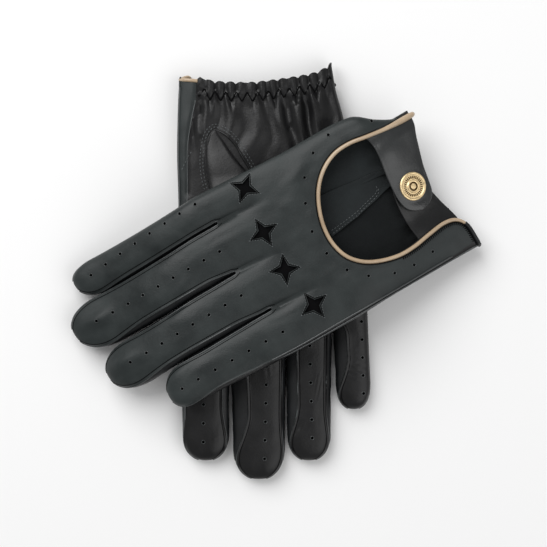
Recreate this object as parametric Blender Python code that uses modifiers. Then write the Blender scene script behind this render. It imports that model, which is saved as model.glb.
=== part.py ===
"""A pair of leather driving gloves, laid crossed on a flat surface.

The right glove lies palm up. The left glove lies across it, back up, and droops to the
surface at both ends. Both thumbs are tucked flat between the two gloves.

Every glove is drawn in its own lay frame: u runs to the thumb side, v runs from the cuff
to the fingertips, and h runs from the palm side to the back side. Seen from above, a left
glove back up and a right glove palm up have the same outline, so one set of functions
builds both, and the right glove is only turned over (its h axis points down).
"""

import math

import bmesh
import bpy
from mathutils import Matrix, Vector

MM = 0.001

# Leather and trimmings
LEATHER = 0.9 * MM          # thickness of the back, palm and fourchettes
THUMB_LEATHER = 0.8 * MM
STRAP_THICKNESS = 1.2 * MM  # two layers glued and sewn
UNDERLAY_THICKNESS = 0.6 * MM
ELASTIC_THICKNESS = 0.7 * MM
SEAM_GAP = 0.5 * MM         # half the clearance between two sewn edges
GUSSET_GAP = 1.0 * MM       # between a fourchette and the panels sewn to it
WRAP_GAP = 1.6 * MM         # where the back or palm wraps round a side to meet the other
PIPING_RADIUS = 1.15 * MM
EDGE_CLEARANCE = 0.45 * MM  # between the piping and the leather edge it finishes

# Sections: a glove lies as a flat tube with rounded sides
HAND_HALF_HEIGHT = 6.5 * MM
HAND_SQUARENESS = 3.6
FINGER_SQUARENESS = 2.7
FINGER_HALF_HEIGHT = (6.2 * MM, 5.3 * MM)  # at the root and before the tip
KNUCKLE_REACH = 30 * MM     # how far the finger shapes run into the hand
ROOT_INSET = 1.2 * MM       # where a seam starts, in from the finger's side
WEB_SHARE = 0.45            # depth of a fourchette's web at the cleft, of its side walls

# How the pair lies
THUMB_LAYER = 7.4 * MM      # space between the gloves that the two thumbs take
DROOP_START = 43 * MM       # from the middle of the pair, along X
DROOP_END = 107.5 * MM
DROOP = 18.6 * MM           # fall of the upper glove's ends
UPPER_LEVEL = 3 * HAND_HALF_HEIGHT + THUMB_LAYER  # the upper glove's middle plane

# Thumbs
THUMB_LENGTH = 68 * MM
THUMB_HALF_WIDTH = 11 * MM
THUMB_HALF_HEIGHT = 3.2 * MM
THUMB_HOLE = (11.5 * MM, 15.5 * MM)  # half sizes across and along the thumb
THUMB_CLEARANCE = 0.4 * MM

# Press fastener: a 15 mm cap on the strap, and a stud on the under tab
CAP_RADIUS = 7.5 * MM
CAP_HEIGHT = 1.1 * MM
SOCKET_RADIUS = 5.0 * MM
STUD_FLANGE_RADIUS = 4.6 * MM
STUD_RADIUS = 1.6 * MM
SOCKET_BORE = 2.2 * MM
STEM_RADIUS = 1.4 * MM
STEM_HOLE = 1.8 * MM
FASTENER_GAP = 0.3 * MM

# Heights of the wrist parts above the glove's middle plane
STRAP_TOP = 5.0 * MM
TAB_TOP = 1.2 * MM
TAB_ROOT_RISE = 2.5 * MM
PIPING_DROP = 1.2 * MM      # the piping's centre lies this far under the leather's face

# Mesh fineness
FINGER_COLUMNS = 6
WRAP_COLUMNS = 8
HAND_ROWS = 6
FINGER_ROWS = 5
TIP_ROWS = 3

FINGER_NAMES = ("little", "ring", "middle", "index")


def mm(points):
    """Millimetre tuples as metres."""
    return [tuple(value * MM for value in point) for point in points]


# The keyhole and wrist edge of the back, (u, v) from the thumb side's cuff corner, up the
# keyhole, round it, and down to the little finger's side.
KEYHOLE = mm([
    (37.8, -2.5), (38.0, 6.0), (38.7, 16.0), (40.2, 26.5), (41.6, 35.5), (40.9, 44.5),
    (37.0, 53.0), (30.5, 60.0), (22.0, 65.0), (12.0, 68.2), (2.0, 68.8), (-7.5, 66.2),
    (-14.6, 60.0), (-19.0, 51.5), (-21.5, 41.5), (-21.5, 32.0), (-20.0, 22.0),
    (-18.9, 12.5), (-20.6, 5.8), (-25.9, 2.2), (-35.0, 1.6),
])
# Strap and under tab: (u, lowest v, highest v) along their length, from root to rounded end
STRAP_SPAN = mm([
    (35.3, -0.6, 24.6), (28.0, 1.6, 25.8), (20.0, 4.2, 26.7), (12.0, 6.4, 27.3),
    (5.0, 7.6, 27.5), (0.0, 8.6, 26.9), (-3.5, 10.4, 25.4), (-6.0, 13.4, 22.6),
    (-7.1, 16.6, 19.4),
])
TAB_SPAN = mm([
    (-24.0, 4.0, 27.4), (-19.0, 4.3, 27.6), (-13.0, 5.4, 27.8), (-6.0, 7.0, 27.9),
    (1.0, 8.4, 27.6), (7.0, 9.4, 26.6), (11.5, 11.6, 24.4), (14.0, 15.4, 20.6),
])
SNAP_AT = (5.9 * MM, 17.4 * MM)
ELASTIC_SPAN = mm([(-30.0, 5.4, 9.6), (-20.0, 6.4, 10.6), (-8.0, 7.2, 11.4), (8.0, 7.4, 11.6),
                   (18.0, 7.2, 11.4), (26.0, 7.0, 11.2)])

STAR_RADIUS = 6.2 * MM      # tip of a ray
STAR_WAIST = 2.5 * MM       # between two rays

# Each glove. Sides are (v, u). Roots are the finger clefts and the hand's two sides at the
# knuckles, (u, v), from the little finger to the thumb side. A finger is (middle at the tip,
# half width before the tip, v of the tip, length of the rounded tip).
# Insets are (little side, thumb side) from the finger's side to the seam at mid length.
GLOVES = {
    "left": {
        "back_up": True,
        "cuff_at": (89.86 * MM, 48.82 * MM),
        "heading": 210,
        "droops": True,
        "thumb_side": mm([(-4, 37.9), (8, 40.9), (16, 45.0), (29, 53.6), (44, 55.0),
                          (64, 54.9), (81, 55.7), (100, 56.9), (118, 58.0)]),
        "little_side": mm([(-8, -38.2), (30, -38.9), (60, -38.6), (100, -38.6), (118, -37.9)]),
        "roots": mm([(-37.9, 118.0), (-12.2, 112.8), (13.3, 119.8), (40.2, 114.9), (58.0, 118.0)]),
        "fingers": mm([(-24.0, 11.2, 183.5, 16.0), (0.4, 12.1, 207.0, 19.0),
                       (27.0, 12.9, 210.0, 20.0), (49.3, 9.0, 197.0, 14.0)]),
        "back_insets": mm([(2.2, 1.1), (2.4, 1.0), (2.6, 1.0), (1.0, 0.0)]),
        "palm_insets": mm([(0.0, 1.6), (1.6, 1.6), (1.6, 1.6), (1.6, 3.0)]),
        "side_seam": 4.0 * MM,
        "cuff_line": mm([(3.0, 1.0)])[0],
        "stars": mm([(-21.4, 92.9), (1.9, 96.8), (24.0, 96.7), (48.6, 93.7)]),
        "thumb_at": (27.0 * MM, 46.0 * MM),
        "thumb_heading": 156,
    },
    "right": {
        "back_up": False,
        "cuff_at": (-10.04 * MM, 100.82 * MM),
        "heading": 270,
        "droops": False,
        "thumb_side": mm([(-4, 40.2), (12, 41.1), (37, 41.6), (65, 40.9), (118, 41.0)]),
        "little_side": mm([(-8, -40.0), (4, -42.1), (20, -46.3), (60, -52.3), (100, -57.2),
                           (118, -58.6)]),
        "roots": mm([(-58.6, 120.0), (-39.9, 112.0), (-15.7, 119.0), (14.0, 115.0), (41.0, 118.0)]),
        "fingers": mm([(-51.4, 9.0, 172.3, 14.0), (-27.9, 11.2, 199.3, 15.0),
                       (-1.6, 13.4, 209.2, 18.0), (26.5, 12.1, 199.3, 15.0)]),
        "back_insets": mm([(1.6, 1.6), (1.6, 1.6), (1.6, 1.6), (1.6, 0.0)]),
        "palm_insets": mm([(0.0, 6.6), (2.4, 5.4), (1.6, 8.2), (3.2, 1.8)]),
        "side_seam": 5.2 * MM,
        "cuff_line": mm([(-7.6, 0.0)])[0],
        "stars": mm([(-42.4, 92.9), (-19.4, 96.8), (3.6, 96.7), (28.6, 93.7)]),
        "thumb_at": (11.0 * MM, 46.0 * MM),
        "thumb_heading": 98,
    },
}

COLOURS = {
    "leather_back": ((0.035, 0.042, 0.046), 0.48, 0.0),
    "leather_palm": ((0.022, 0.023, 0.025), 0.38, 0.0),
    "leather_gusset": ((0.025, 0.027, 0.029), 0.42, 0.0),
    "leather_underlay": ((0.012, 0.012, 0.013), 0.7, 0.0),
    "piping_tan": ((0.40, 0.29, 0.19), 0.5, 0.0),
    "brass": ((0.62, 0.44, 0.20), 0.32, 1.0),
    "elastic_black": ((0.02, 0.02, 0.02), 0.85, 0.0),
}


# ---------------------------------------------------------------- small mathematics

def mix(a, b, t):
    return a + (b - a) * t


def smooth(t):
    t = min(1.0, max(0.0, t))
    return t * t * (3 - 2 * t)


def along(points, x):
    """Smoothed height of the curve through (x, y) points, by monotone cubic pieces."""
    if x <= points[0][0]:
        return points[0][1]
    if x >= points[-1][0]:
        return points[-1][1]
    slopes = [(b[1] - a[1]) / (b[0] - a[0]) for a, b in zip(points, points[1:])]
    tangents = [slopes[0]] + [
        0.0 if a * b <= 0 else 2 * a * b / (a + b) for a, b in zip(slopes, slopes[1:])
    ] + [slopes[-1]]
    i = max(k for k in range(len(points) - 1) if points[k][0] <= x)
    (x0, y0), (x1, y1) = points[i], points[i + 1]
    step = x1 - x0
    t = (x - x0) / step
    return (y0 * (1 + 2 * t) * (1 - t) ** 2 + tangents[i] * step * t * (1 - t) ** 2
            + y1 * t * t * (3 - 2 * t) + tangents[i + 1] * step * t * t * (t - 1))


def rounded(half_width, half_height, squareness, angle):
    """A point of a superellipse."""
    c, s = math.cos(angle), math.sin(angle)
    power = 2 / squareness
    return (half_width * math.copysign(abs(c) ** power, c),
            half_height * math.copysign(abs(s) ** power, s))


def seam_angle(inset, half_width):
    """The section angle at which a finger's surface is this far in from its side."""
    share = max(0.0, 1 - inset / half_width)
    return math.acos(share ** (FINGER_SQUARENESS / 2))


def angle_for(clearance, angle, half_width, half_height):
    """The change of section angle that moves along the surface by a clearance."""
    here = rounded(half_width, half_height, FINGER_SQUARENESS, angle)
    beside = rounded(half_width, half_height, FINGER_SQUARENESS, angle - 0.12)
    return 0.12 * clearance / max(math.dist(here, beside), 1e-6)


# ---------------------------------------------------------------- placing a glove

def placed(glove, u, v, h):
    """Lay coordinates to the pair's frame, with the glove still flat."""
    heading = math.radians(glove["heading"])
    x = glove["cuff_at"][0] + u * math.sin(heading) + v * math.cos(heading)
    y = glove["cuff_at"][1] - u * math.cos(heading) + v * math.sin(heading)
    if glove["back_up"]:
        return Vector((x, y, UPPER_LEVEL + h))
    return Vector((x, y, HAND_HALF_HEIGHT - h))


def bent(point):
    """A point of the flat upper glove, after its ends droop. Its back keeps its plan."""
    past = (abs(point.x) - DROOP_START) / (DROOP_END - DROOP_START)
    past = min(1.0, max(0.0, past))
    slope = 6 * past * (1 - past) * DROOP / (DROOP_END - DROOP_START)
    lean = math.atan(math.copysign(slope, point.x))
    under = point.z - (UPPER_LEVEL + HAND_HALF_HEIGHT)
    return Vector((point.x + under * math.sin(lean), point.y,
                   point.z - under - DROOP * smooth(past) + under * math.cos(lean)))


def frame_at(glove, u, v, h):
    """A matrix whose +Z leaves the glove's back side, with its X along the pair's X."""
    here = placed(glove, u, v, h)
    if not glove["droops"]:
        return Matrix.Translation(here) @ Matrix.Rotation(math.pi, 4, "X")
    out = (bent(here + Vector((0, 0, MM))) - bent(here)).normalized()
    turn = Vector((0, 0, 1)).rotation_difference(out).to_matrix().to_4x4()
    return Matrix.Translation(bent(here)) @ turn


# ---------------------------------------------------------------- the glove's form

def finger_at(glove, number, v):
    """Middle, half width, half height and height of the middle line of a finger at v."""
    low, high = glove["roots"][number], glove["roots"][number + 1]
    root_middle = (low[0] + high[0]) / 2
    root_half = (high[0] - low[0]) / 2 - 0.4 * MM
    root_v = (low[1] + high[1]) / 2
    tip_middle, tip_half, tip_v, tip_length = glove["fingers"][number]
    t = (v - root_v) / (tip_v - tip_length - root_v)
    middle = mix(root_middle, tip_middle, min(1.0, max(0.0, t)))
    half = mix(root_half, tip_half, smooth(t))
    height = mix(*FINGER_HALF_HEIGHT, min(1.0, max(0.0, t)))
    rest_side = -1 if glove["back_up"] else 1
    level = rest_side * (HAND_HALF_HEIGHT - height) * smooth(t * 3)
    over = (v - (tip_v - tip_length)) / tip_length
    if over > 0:
        shrink = max(0.0, 1 - min(1.0, over) ** 2.3) ** (1 / 2.2)
        half, height = half * shrink, height * shrink
    return middle, half, height, level


def inset_at(glove, number, insets, side, v):
    """How far a seam runs in from the finger's side at v. It closes on the side at the tip."""
    low, high = glove["roots"][number], glove["roots"][number + 1]
    root_v = (low[1] + high[1]) / 2
    _, _, tip_v, tip_length = glove["fingers"][number]
    wide = mix(ROOT_INSET, glove[insets][number][side], smooth((v - root_v) / (18 * MM)))
    return wide * (1 - smooth((v - (tip_v - 1.5 * tip_length)) / (1.3 * tip_length)))


def sector(glove, number, part, v):
    """First and last section angle of the back or palm on a finger, little side first."""
    half = max(finger_at(glove, number, v)[1], 0.5 * MM)
    other = "palm_insets" if part == "back" else "back_insets"
    own = part + "_insets"
    little = math.pi - seam_angle(inset_at(glove, number, own, 0, v), half)
    thumb = seam_angle(inset_at(glove, number, own, 1, v), half)
    if part == "back" and number == 3:
        thumb = -seam_angle(inset_at(glove, number, other, 1, v), half)
    if part == "palm" and number == 0:
        little = math.pi + seam_angle(inset_at(glove, number, other, 0, v), half)
    gap = min(WRAP_GAP, 0.35 * half)
    if part == "back" and number == 0:
        little = math.pi - seam_angle(inset_at(glove, number, own, 0, v) + gap, half)
    if part == "palm" and number == 3:
        thumb = seam_angle(inset_at(glove, number, own, 1, v) + gap, half)
    return little, thumb


def finger_point(glove, number, part, v, angle):
    """A lay point on a finger. Angle 90 degrees is the middle of the part's own side."""
    middle, half, height, level = finger_at(glove, number, v)
    side = 1 if part == "back" else -1
    across, up = rounded(half, height, FINGER_SQUARENESS, angle)
    up = math.copysign(max(abs(up), SEAM_GAP), up if abs(up) > 1e-9 else 1)
    return middle + across, v, level + side * up


def side_limits(glove, v):
    return along(glove["little_side"], v), along(glove["thumb_side"], v)


def root_line(glove, u):
    """v of the knuckle line, through the clefts."""
    roots = glove["roots"]
    if u <= roots[0][0]:
        return roots[0][1]
    for low, high in zip(roots, roots[1:]):
        if u <= high[0]:
            return mix(low[1], high[1], (u - low[0]) / (high[0] - low[0]))
    return roots[-1][1]


def hand_point(glove, part, root, t, start):
    """A lay point on the hand, on the column that ends at a finger's root point.

    root is that point, start the column's v at the cuff, and t runs from cuff to knuckle.
    """
    side = 1 if part == "back" else -1
    root_u, root_v, root_h = root
    low, high = glove["roots"][0][0], glove["roots"][-1][0]
    share = (root_u - low) / (high - low)
    v = mix(start, root_v, t)
    left, right = side_limits(glove, v)
    across = min(1.0, abs(2 * share - 1))
    rise = max(HAND_HALF_HEIGHT * (1 - across ** HAND_SQUARENESS) ** (1 / HAND_SQUARENESS), SEAM_GAP)
    rise = min(rise * 1.02, HAND_HALF_HEIGHT)
    body = math.copysign(rise, side * root_h) * side
    near = smooth(1 - (root_v - v) / KNUCKLE_REACH)
    return mix(left, right, share), v, mix(body, root_h, near)


def cuff_start(glove, part, root_u):
    """v where a column of the back or the palm starts."""
    if part == "back":
        return -2.5 * MM
    low, high = glove["roots"][0][0], glove["roots"][-1][0]
    return mix(*glove["cuff_line"], min(1.0, max(0.0, (root_u - low) / (high - low))))


# ---------------------------------------------------------------- Blender helpers

def clear_scene():
    for obj in list(bpy.data.objects):
        bpy.data.objects.remove(obj)


def make_collections():
    parts = bpy.data.collections.new("driving_gloves")
    cutters = bpy.data.collections.new("cutters")
    for collection in (parts, cutters):
        bpy.context.scene.collection.children.link(collection)
    cutters.hide_render = True
    return parts, cutters


def make_materials():
    made = {}
    for name, (colour, roughness, metallic) in COLOURS.items():
        material = bpy.data.materials.new(name)
        material.use_nodes = True
        shader = material.node_tree.nodes["Principled BSDF"]
        shader.inputs["Base Color"].default_value = (*colour, 1)
        shader.inputs["Roughness"].default_value = roughness
        shader.inputs["Metallic"].default_value = metallic
        made[name] = material
    return made


def add_object(name, data, material=None):
    obj = bpy.data.objects.new(name, data)
    PARTS.objects.link(obj)
    if material:
        data.materials.append(MATERIALS[material])
    return obj


def finish_mesh(name, mesh_builder, material, recalculate=False):
    """Object from a bmesh, shaded smooth."""
    if recalculate:
        bmesh.ops.recalc_face_normals(mesh_builder, faces=mesh_builder.faces)
    mesh = bpy.data.meshes.new(name)
    mesh_builder.to_mesh(mesh)
    mesh_builder.free()
    mesh.shade_smooth()
    return add_object(name, mesh, material)


def thicken(obj, thickness):
    """Gives an open sheet its thickness, inwards from its face."""
    solidify = obj.modifiers.new("thickness", "SOLIDIFY")
    solidify.thickness = thickness
    solidify.offset = -1
    return obj


def cut(obj, cutter):
    boolean = obj.modifiers.new("cut_" + cutter.name, "BOOLEAN")
    boolean.operation = "DIFFERENCE"
    boolean.object = cutter
    return obj


def prism(name, outline, low, high):
    """A cutter: a closed outline of world points, from height low to height high."""
    builder = bmesh.new()
    floor = [builder.verts.new((p.x, p.y, low)) for p in outline]
    roof = [builder.verts.new((p.x, p.y, high)) for p in outline]
    builder.faces.new(floor[::-1])
    builder.faces.new(roof)
    for i in range(len(outline)):
        j = (i + 1) % len(outline)
        builder.faces.new((floor[i], floor[j], roof[j], roof[i]))
    bmesh.ops.recalc_face_normals(builder, faces=builder.faces)
    mesh = bpy.data.meshes.new(name)
    builder.to_mesh(mesh)
    builder.free()
    obj = bpy.data.objects.new(name, mesh)
    CUTTERS.objects.link(obj)
    obj.hide_render = True
    obj.display_type = "WIRE"
    return obj


def loft(name, rows, flip, material):
    """An open sheet through rows of points that all have the same length."""
    builder = bmesh.new()
    grid = [[builder.verts.new(p) for p in row] for row in rows]
    for near, far in zip(grid, grid[1:]):
        for i in range(len(near) - 1):
            quad = (near[i], near[i + 1], far[i + 1], far[i])
            builder.faces.new(quad[::-1] if flip else quad)
    return finish_mesh(name, builder, material)


# ---------------------------------------------------------------- back and palm

def panel_columns(number, part):
    wraps = (part == "back" and number == 3) or (part == "palm" and number == 0)
    return WRAP_COLUMNS if wraps else FINGER_COLUMNS


def root_points(glove, number, part):
    """The finger's first row: one lay point for each column, on the knuckle line."""
    points = []
    columns = panel_columns(number, part)
    low, high = glove["roots"][number], glove["roots"][number + 1]
    first, last = sector(glove, number, part, (low[1] + high[1]) / 2)
    for i in range(columns + 1):
        angle = mix(first, last, i / columns)
        u, _, h = finger_point(glove, number, part, (low[1] + high[1]) / 2, angle)
        points.append((u, root_line(glove, u), h))
    return points


def finger_rows(glove, number, part, roots):
    """Rows from the root towards the tip, without the root row itself."""
    columns = panel_columns(number, part)
    _, _, tip_v, tip_length = glove["fingers"][number]
    shoulder = tip_v - tip_length
    rows = []
    for row in range(1, FINGER_ROWS + 1):
        t = row / FINGER_ROWS
        line = []
        for i in range(columns + 1):
            v = mix(roots[i][1], shoulder, t)
            first, last = sector(glove, number, part, v)
            line.append(finger_point(glove, number, part, v, mix(first, last, i / columns)))
        rows.append(line)
    for row in range(1, TIP_ROWS + 1):
        v = shoulder + tip_length * math.sin(math.pi / 2 * row / (TIP_ROWS + 1))
        first, last = sector(glove, number, part, v)
        rows.append([finger_point(glove, number, part, v, mix(first, last, i / columns))
                     for i in range(columns + 1)])
    return rows


def make_panel(side, part):
    """The back or the palm: one skin that runs unbroken into its four finger halves."""
    glove = GLOVES[side]
    flip = (part == "palm") == glove["back_up"]
    builder = bmesh.new()
    roots = [root_points(glove, number, part) for number in range(4)]
    columns = [point for finger in roots for point in finger]
    grid = []
    for row in range(HAND_ROWS + 1):
        t = row / HAND_ROWS
        line = []
        for root in columns:
            point = hand_point(glove, part, root, t, cuff_start(glove, part, root[0]))
            line.append(builder.verts.new(placed(glove, *point)))
        grid.append(line)

    def strip(near, far):
        for i in range(len(near) - 1):
            quad = (near[i], near[i + 1], far[i + 1], far[i])
            builder.faces.new(quad[::-1] if flip else quad)

    for near, far in zip(grid, grid[1:]):
        strip(near, far)
    start = 0
    for number in range(4):
        near = grid[-1][start:start + len(roots[number])]
        start += len(roots[number])
        for row in finger_rows(glove, number, part, roots[number]):
            far = [builder.verts.new(placed(glove, *point)) for point in row]
            strip(near, far)
            near = far
        _, _, tip_v, _ = glove["fingers"][number]
        tip_middle, _, _, level = finger_at(glove, number, tip_v)
        lean = SEAM_GAP if part == "back" else -SEAM_GAP
        tip = builder.verts.new(placed(glove, tip_middle, tip_v, level + lean))
        for i in range(len(near) - 1):
            face = (near[i], near[i + 1], tip)
            builder.faces.new(face[::-1] if flip else face)
    name = f"{side}_{part}_panel"
    return thicken(finish_mesh(name, builder, "leather_" + part), LEATHER)


def keyhole_outline(glove, outwards):
    """The keyhole and wrist edge, pushed outwards into the leather by this much, as (u, v)."""
    pushed = []
    for i, point in enumerate(KEYHOLE):
        before = Vector(KEYHOLE[max(0, i - 1)])
        after = Vector(KEYHOLE[min(len(KEYHOLE) - 1, i + 1)])
        run = (after - before).normalized()
        pushed.append((point[0] + run.y * outwards, point[1] - run.x * outwards))
    return pushed


def upper_surface(glove, u, v):
    """Height of the back's face at a lay point of the hand, knuckle shapes left out."""
    left, right = side_limits(glove, v)
    across = min(0.985, abs(2 * (u - left) / (right - left) - 1))
    rise = HAND_HALF_HEIGHT * (1 - across ** HAND_SQUARENESS) ** (1 / HAND_SQUARENESS)
    return min(rise * 1.02, HAND_HALF_HEIGHT)


def cut_keyhole(side, panel):
    """Opens the back at the wrist, as wide as the piping and its clearance."""
    glove = GLOVES[side]
    edge = keyhole_outline(glove, PIPING_RADIUS + EDGE_CLEARANCE)
    beyond = 20 * MM
    outline = [(edge[0][0] + 2 * MM, -beyond)] + edge + [(-60 * MM, edge[-1][1]), (-60 * MM, -beyond)]
    points = [placed(glove, u, v, 0) for u, v in outline]
    near = placed(glove, 0, 0, 0.3 * MM).z
    far = placed(glove, 0, 0, HAND_HALF_HEIGHT + 3 * MM).z
    cut(panel, prism(side + "_keyhole_cutter", points, *sorted((near, far))))


def star_outline(centre):
    """A four-rayed star, (u, v), one ray towards the fingertips."""
    outline = []
    for i in range(8):
        reach = STAR_RADIUS if i % 2 == 0 else STAR_WAIST
        angle = math.radians(90 + 45 * i)
        outline.append((centre[0] + reach * math.cos(angle), centre[1] + reach * math.sin(angle)))
    return outline


def cut_stars(side, panel):
    glove = GLOVES[side]
    for number, centre in enumerate(glove["stars"]):
        points = [placed(glove, u, v, 0) for u, v in star_outline(centre)]
        middle = placed(glove, *centre, 0).z
        far = placed(glove, *centre, HAND_HALF_HEIGHT + 3 * MM).z
        near = mix(middle, far, 0.1)
        cut(panel, prism(f"{side}_star_cutter_{number + 1}", points, *sorted((near, far))))


def cut_thumb_hole(side, panel):
    """The oval hole in the palm that the thumb is sewn into."""
    glove = GLOVES[side]
    along_u, along_v = thumb_direction(glove)
    points = []
    for i in range(20):
        angle = 2 * math.pi * i / 20
        across, forward = THUMB_HOLE[0] * math.cos(angle), THUMB_HOLE[1] * math.sin(angle)
        points.append(placed(glove, glove["thumb_at"][0] + across * along_v + forward * along_u,
                             glove["thumb_at"][1] - across * along_u + forward * along_v, 0))
    middle = placed(glove, *glove["thumb_at"], -1 * MM).z
    far = placed(glove, *glove["thumb_at"], -HAND_HALF_HEIGHT - 3 * MM).z
    cut(panel, prism(side + "_thumb_cutter", points, *sorted((middle, far))))


# ---------------------------------------------------------------- fourchettes

def gusset_row(glove, number, thumb_side, v):
    """Lay points across a finger's side wall, from the back seam to the palm seam."""
    middle, half, height, level = finger_at(glove, number, v)
    side = 1 if thumb_side else 0
    upper = seam_angle(inset_at(glove, number, "back_insets", side, v), half)
    lower = seam_angle(inset_at(glove, number, "palm_insets", side, v), half)
    upper -= angle_for(GUSSET_GAP, upper, half, height)
    lower -= angle_for(GUSSET_GAP, lower, half, height)
    points = []
    for i in range(4):
        angle = mix(upper, -lower, i / 3)
        across, up = rounded(half, height, FINGER_SQUARENESS, angle)
        points.append((middle + (across if thumb_side else -across), v, level + up))
    return points


def make_fourchette(side, number):
    """The forked strip between two fingers: down one finger, round the cleft, up the next."""
    glove = GLOVES[side]
    cleft_u, cleft_v = glove["roots"][number + 1]

    def wall(finger, thumb_side):
        _, _, tip_v, tip_length = glove["fingers"][finger]
        end = tip_v - 0.75 * tip_length
        stations = [cleft_v + 0.3 * MM] + [mix(cleft_v, end, t) for t in (0.08, 0.2, 0.4, 0.6, 0.8, 0.92, 1)]
        return [gusset_row(glove, finger, thumb_side, v) for v in stations]

    going, coming = wall(number, True), wall(number + 1, False)
    web = [(cleft_u, cleft_v - 0.6 * MM, (a[2] + b[2]) / 2 * WEB_SHARE)
           for a, b in zip(going[0], coming[0])]
    rows = going[::-1] + [web] + coming
    rows = [[placed(glove, *point) for point in row] for row in rows]
    name = f"{side}_fourchette_{FINGER_NAMES[number]}_{FINGER_NAMES[number + 1]}"
    strip = loft(name, rows, glove["back_up"], "leather_gusset")
    return thicken(strip, LEATHER)


# ---------------------------------------------------------------- thumb

def thumb_direction(glove):
    """The thumb's heading in the lay frame, as (u, v)."""
    heading = math.radians(glove["thumb_heading"])
    return math.cos(heading), math.sin(heading)


def make_thumb(side):
    """The thumb stall: a flat tube, open where it is sewn over the hole in the palm."""
    glove = GLOVES[side]
    run_u, run_v = thumb_direction(glove)
    mouth = -(HAND_HALF_HEIGHT + THUMB_CLEARANCE)
    axis = mouth - THUMB_HALF_HEIGHT
    count = 16
    builder = bmesh.new()

    def point(across, forward, h):
        u = glove["thumb_at"][0] + across * run_v + forward * run_u
        v = glove["thumb_at"][1] - across * run_u + forward * run_v
        return builder.verts.new(placed(glove, u, v, h))

    rim = []
    for i in range(count):
        angle = 2 * math.pi * i / count
        rim.append(point(THUMB_HOLE[0] * math.cos(angle), THUMB_HOLE[1] * math.sin(angle), mouth))
    rows = [rim]
    elbow = THUMB_HOLE[1] + 3 * MM
    for t in (0, 0.25, 0.6, 1):
        row = []
        for i in range(count):
            angle = 2 * math.pi * i / count
            c, s = math.cos(angle), math.sin(angle)
            across = mix(THUMB_HOLE[0], THUMB_HALF_WIDTH, t) * c
            forward = mix(THUMB_HOLE[1] * s, elbow, t)
            if s < 0:
                forward = mix(THUMB_HOLE[1] * s, elbow, t ** 1.6)
            h = mix(mouth, axis + THUMB_HALF_HEIGHT * s, math.sin(t * math.pi / 2))
            row.append(point(across, forward, min(h, mouth - 0.6 * MM)))
        rows.append(row)
    tip_length = 13 * MM
    stations = [mix(elbow, THUMB_LENGTH - tip_length, t) for t in (0.5, 1)]
    stations += [THUMB_LENGTH - tip_length * (1 - math.sin(math.pi / 2 * t)) for t in (0.35, 0.65, 0.85)]
    for forward in stations:
        over = max(0.0, (forward - (THUMB_LENGTH - tip_length)) / tip_length)
        shrink = max(0.0, 1 - over ** 2.2) ** 0.5
        row = []
        for i in range(count):
            across, up = rounded(THUMB_HALF_WIDTH * shrink, THUMB_HALF_HEIGHT * shrink, 2.3,
                                 2 * math.pi * i / count)
            row.append(point(across, forward, axis + up))
        rows.append(row)
    for near, far in zip(rows, rows[1:]):
        for i in range(count):
            j = (i + 1) % count
            builder.faces.new((near[i], near[j], far[j], far[i]))
    tip = point(0, THUMB_LENGTH, axis)
    for i in range(count):
        builder.faces.new((rows[-1][i], rows[-1][(i + 1) % count], tip))
    thumb = finish_mesh(side + "_thumb_stall", builder, "leather_palm", recalculate=True)
    return thicken(thumb, THUMB_LEATHER)


# ---------------------------------------------------------------- wrist parts

def span_sheet(name, glove, span, height_at, thickness, material, columns=4):
    """A flat leather or elastic strip, from its span of (u, lowest v, highest v)."""
    rows = []
    for u, low, high in span:
        rows.append([placed(glove, u, mix(low, high, i / columns), height_at(u))
                     for i in range(columns + 1)])
    descending = span[0][0] > span[-1][0]
    sheet = loft(name, rows, descending != glove["back_up"], material)
    return thicken(sheet, thickness)


def round_hole(side, name, height, radius):
    """A cutter along the fastener's axis, in the flat glove."""
    count = 14
    ring = [(SNAP_AT[0] + radius * math.cos(2 * math.pi * i / count),
             SNAP_AT[1] + radius * math.sin(2 * math.pi * i / count)) for i in range(count)]
    points = [placed(GLOVES[side], u, v, 0) for u, v in ring]
    levels = [placed(GLOVES[side], *SNAP_AT, height + reach * MM).z for reach in (-3, 3)]
    return prism(name, points, *sorted(levels))


def tab_height(u):
    return TAB_TOP + TAB_ROOT_RISE * smooth((-8 * MM - u) / (13 * MM))


def make_strap(side):
    strap = span_sheet(side + "_strap", GLOVES[side], STRAP_SPAN, lambda u: STRAP_TOP,
                       STRAP_THICKNESS, "leather_back")
    return cut(strap, round_hole(side, side + "_strap_hole", STRAP_TOP, STEM_HOLE))


def make_under_tab(side):
    tab = span_sheet(side + "_under_tab", GLOVES[side], TAB_SPAN, tab_height,
                     STRAP_THICKNESS, "leather_back")
    return cut(tab, round_hole(side, side + "_tab_hole", TAB_TOP, STEM_HOLE))


def make_elastic(side):
    glove = GLOVES[side]
    rows = []
    for u, low, high in ELASTIC_SPAN:
        stations = [mix(low, high, i / 2) for i in range(3)]
        rows.append([placed(glove, u, v, LEATHER + 0.8 * MM - upper_surface(glove, u, v))
                     for v in stations])
    return thicken(loft(side + "_cuff_elastic", rows, not glove["back_up"], "elastic_black"),
                   ELASTIC_THICKNESS)


def make_piping(side):
    """The tan welt round the keyhole and the wrist edge."""
    glove = GLOVES[side]
    curve = bpy.data.curves.new(side + "_piping", "CURVE")
    curve.dimensions = "3D"
    curve.bevel_depth = PIPING_RADIUS
    curve.bevel_resolution = 2
    curve.use_fill_caps = True
    path = []
    for i in range(len(KEYHOLE) - 1):
        for t in (0, 0.5):
            path.append(spline_point(KEYHOLE, i, t))
    path.append(KEYHOLE[-1])
    spline = curve.splines.new("POLY")
    spline.points.add(len(path) - 1)
    for point, (u, v) in zip(spline.points, path):
        h = upper_surface(glove, u, v) - PIPING_DROP
        point.co = (*placed(glove, u, v, h), 1)
    return add_object(side + "_piping", curve, "piping_tan")


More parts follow.
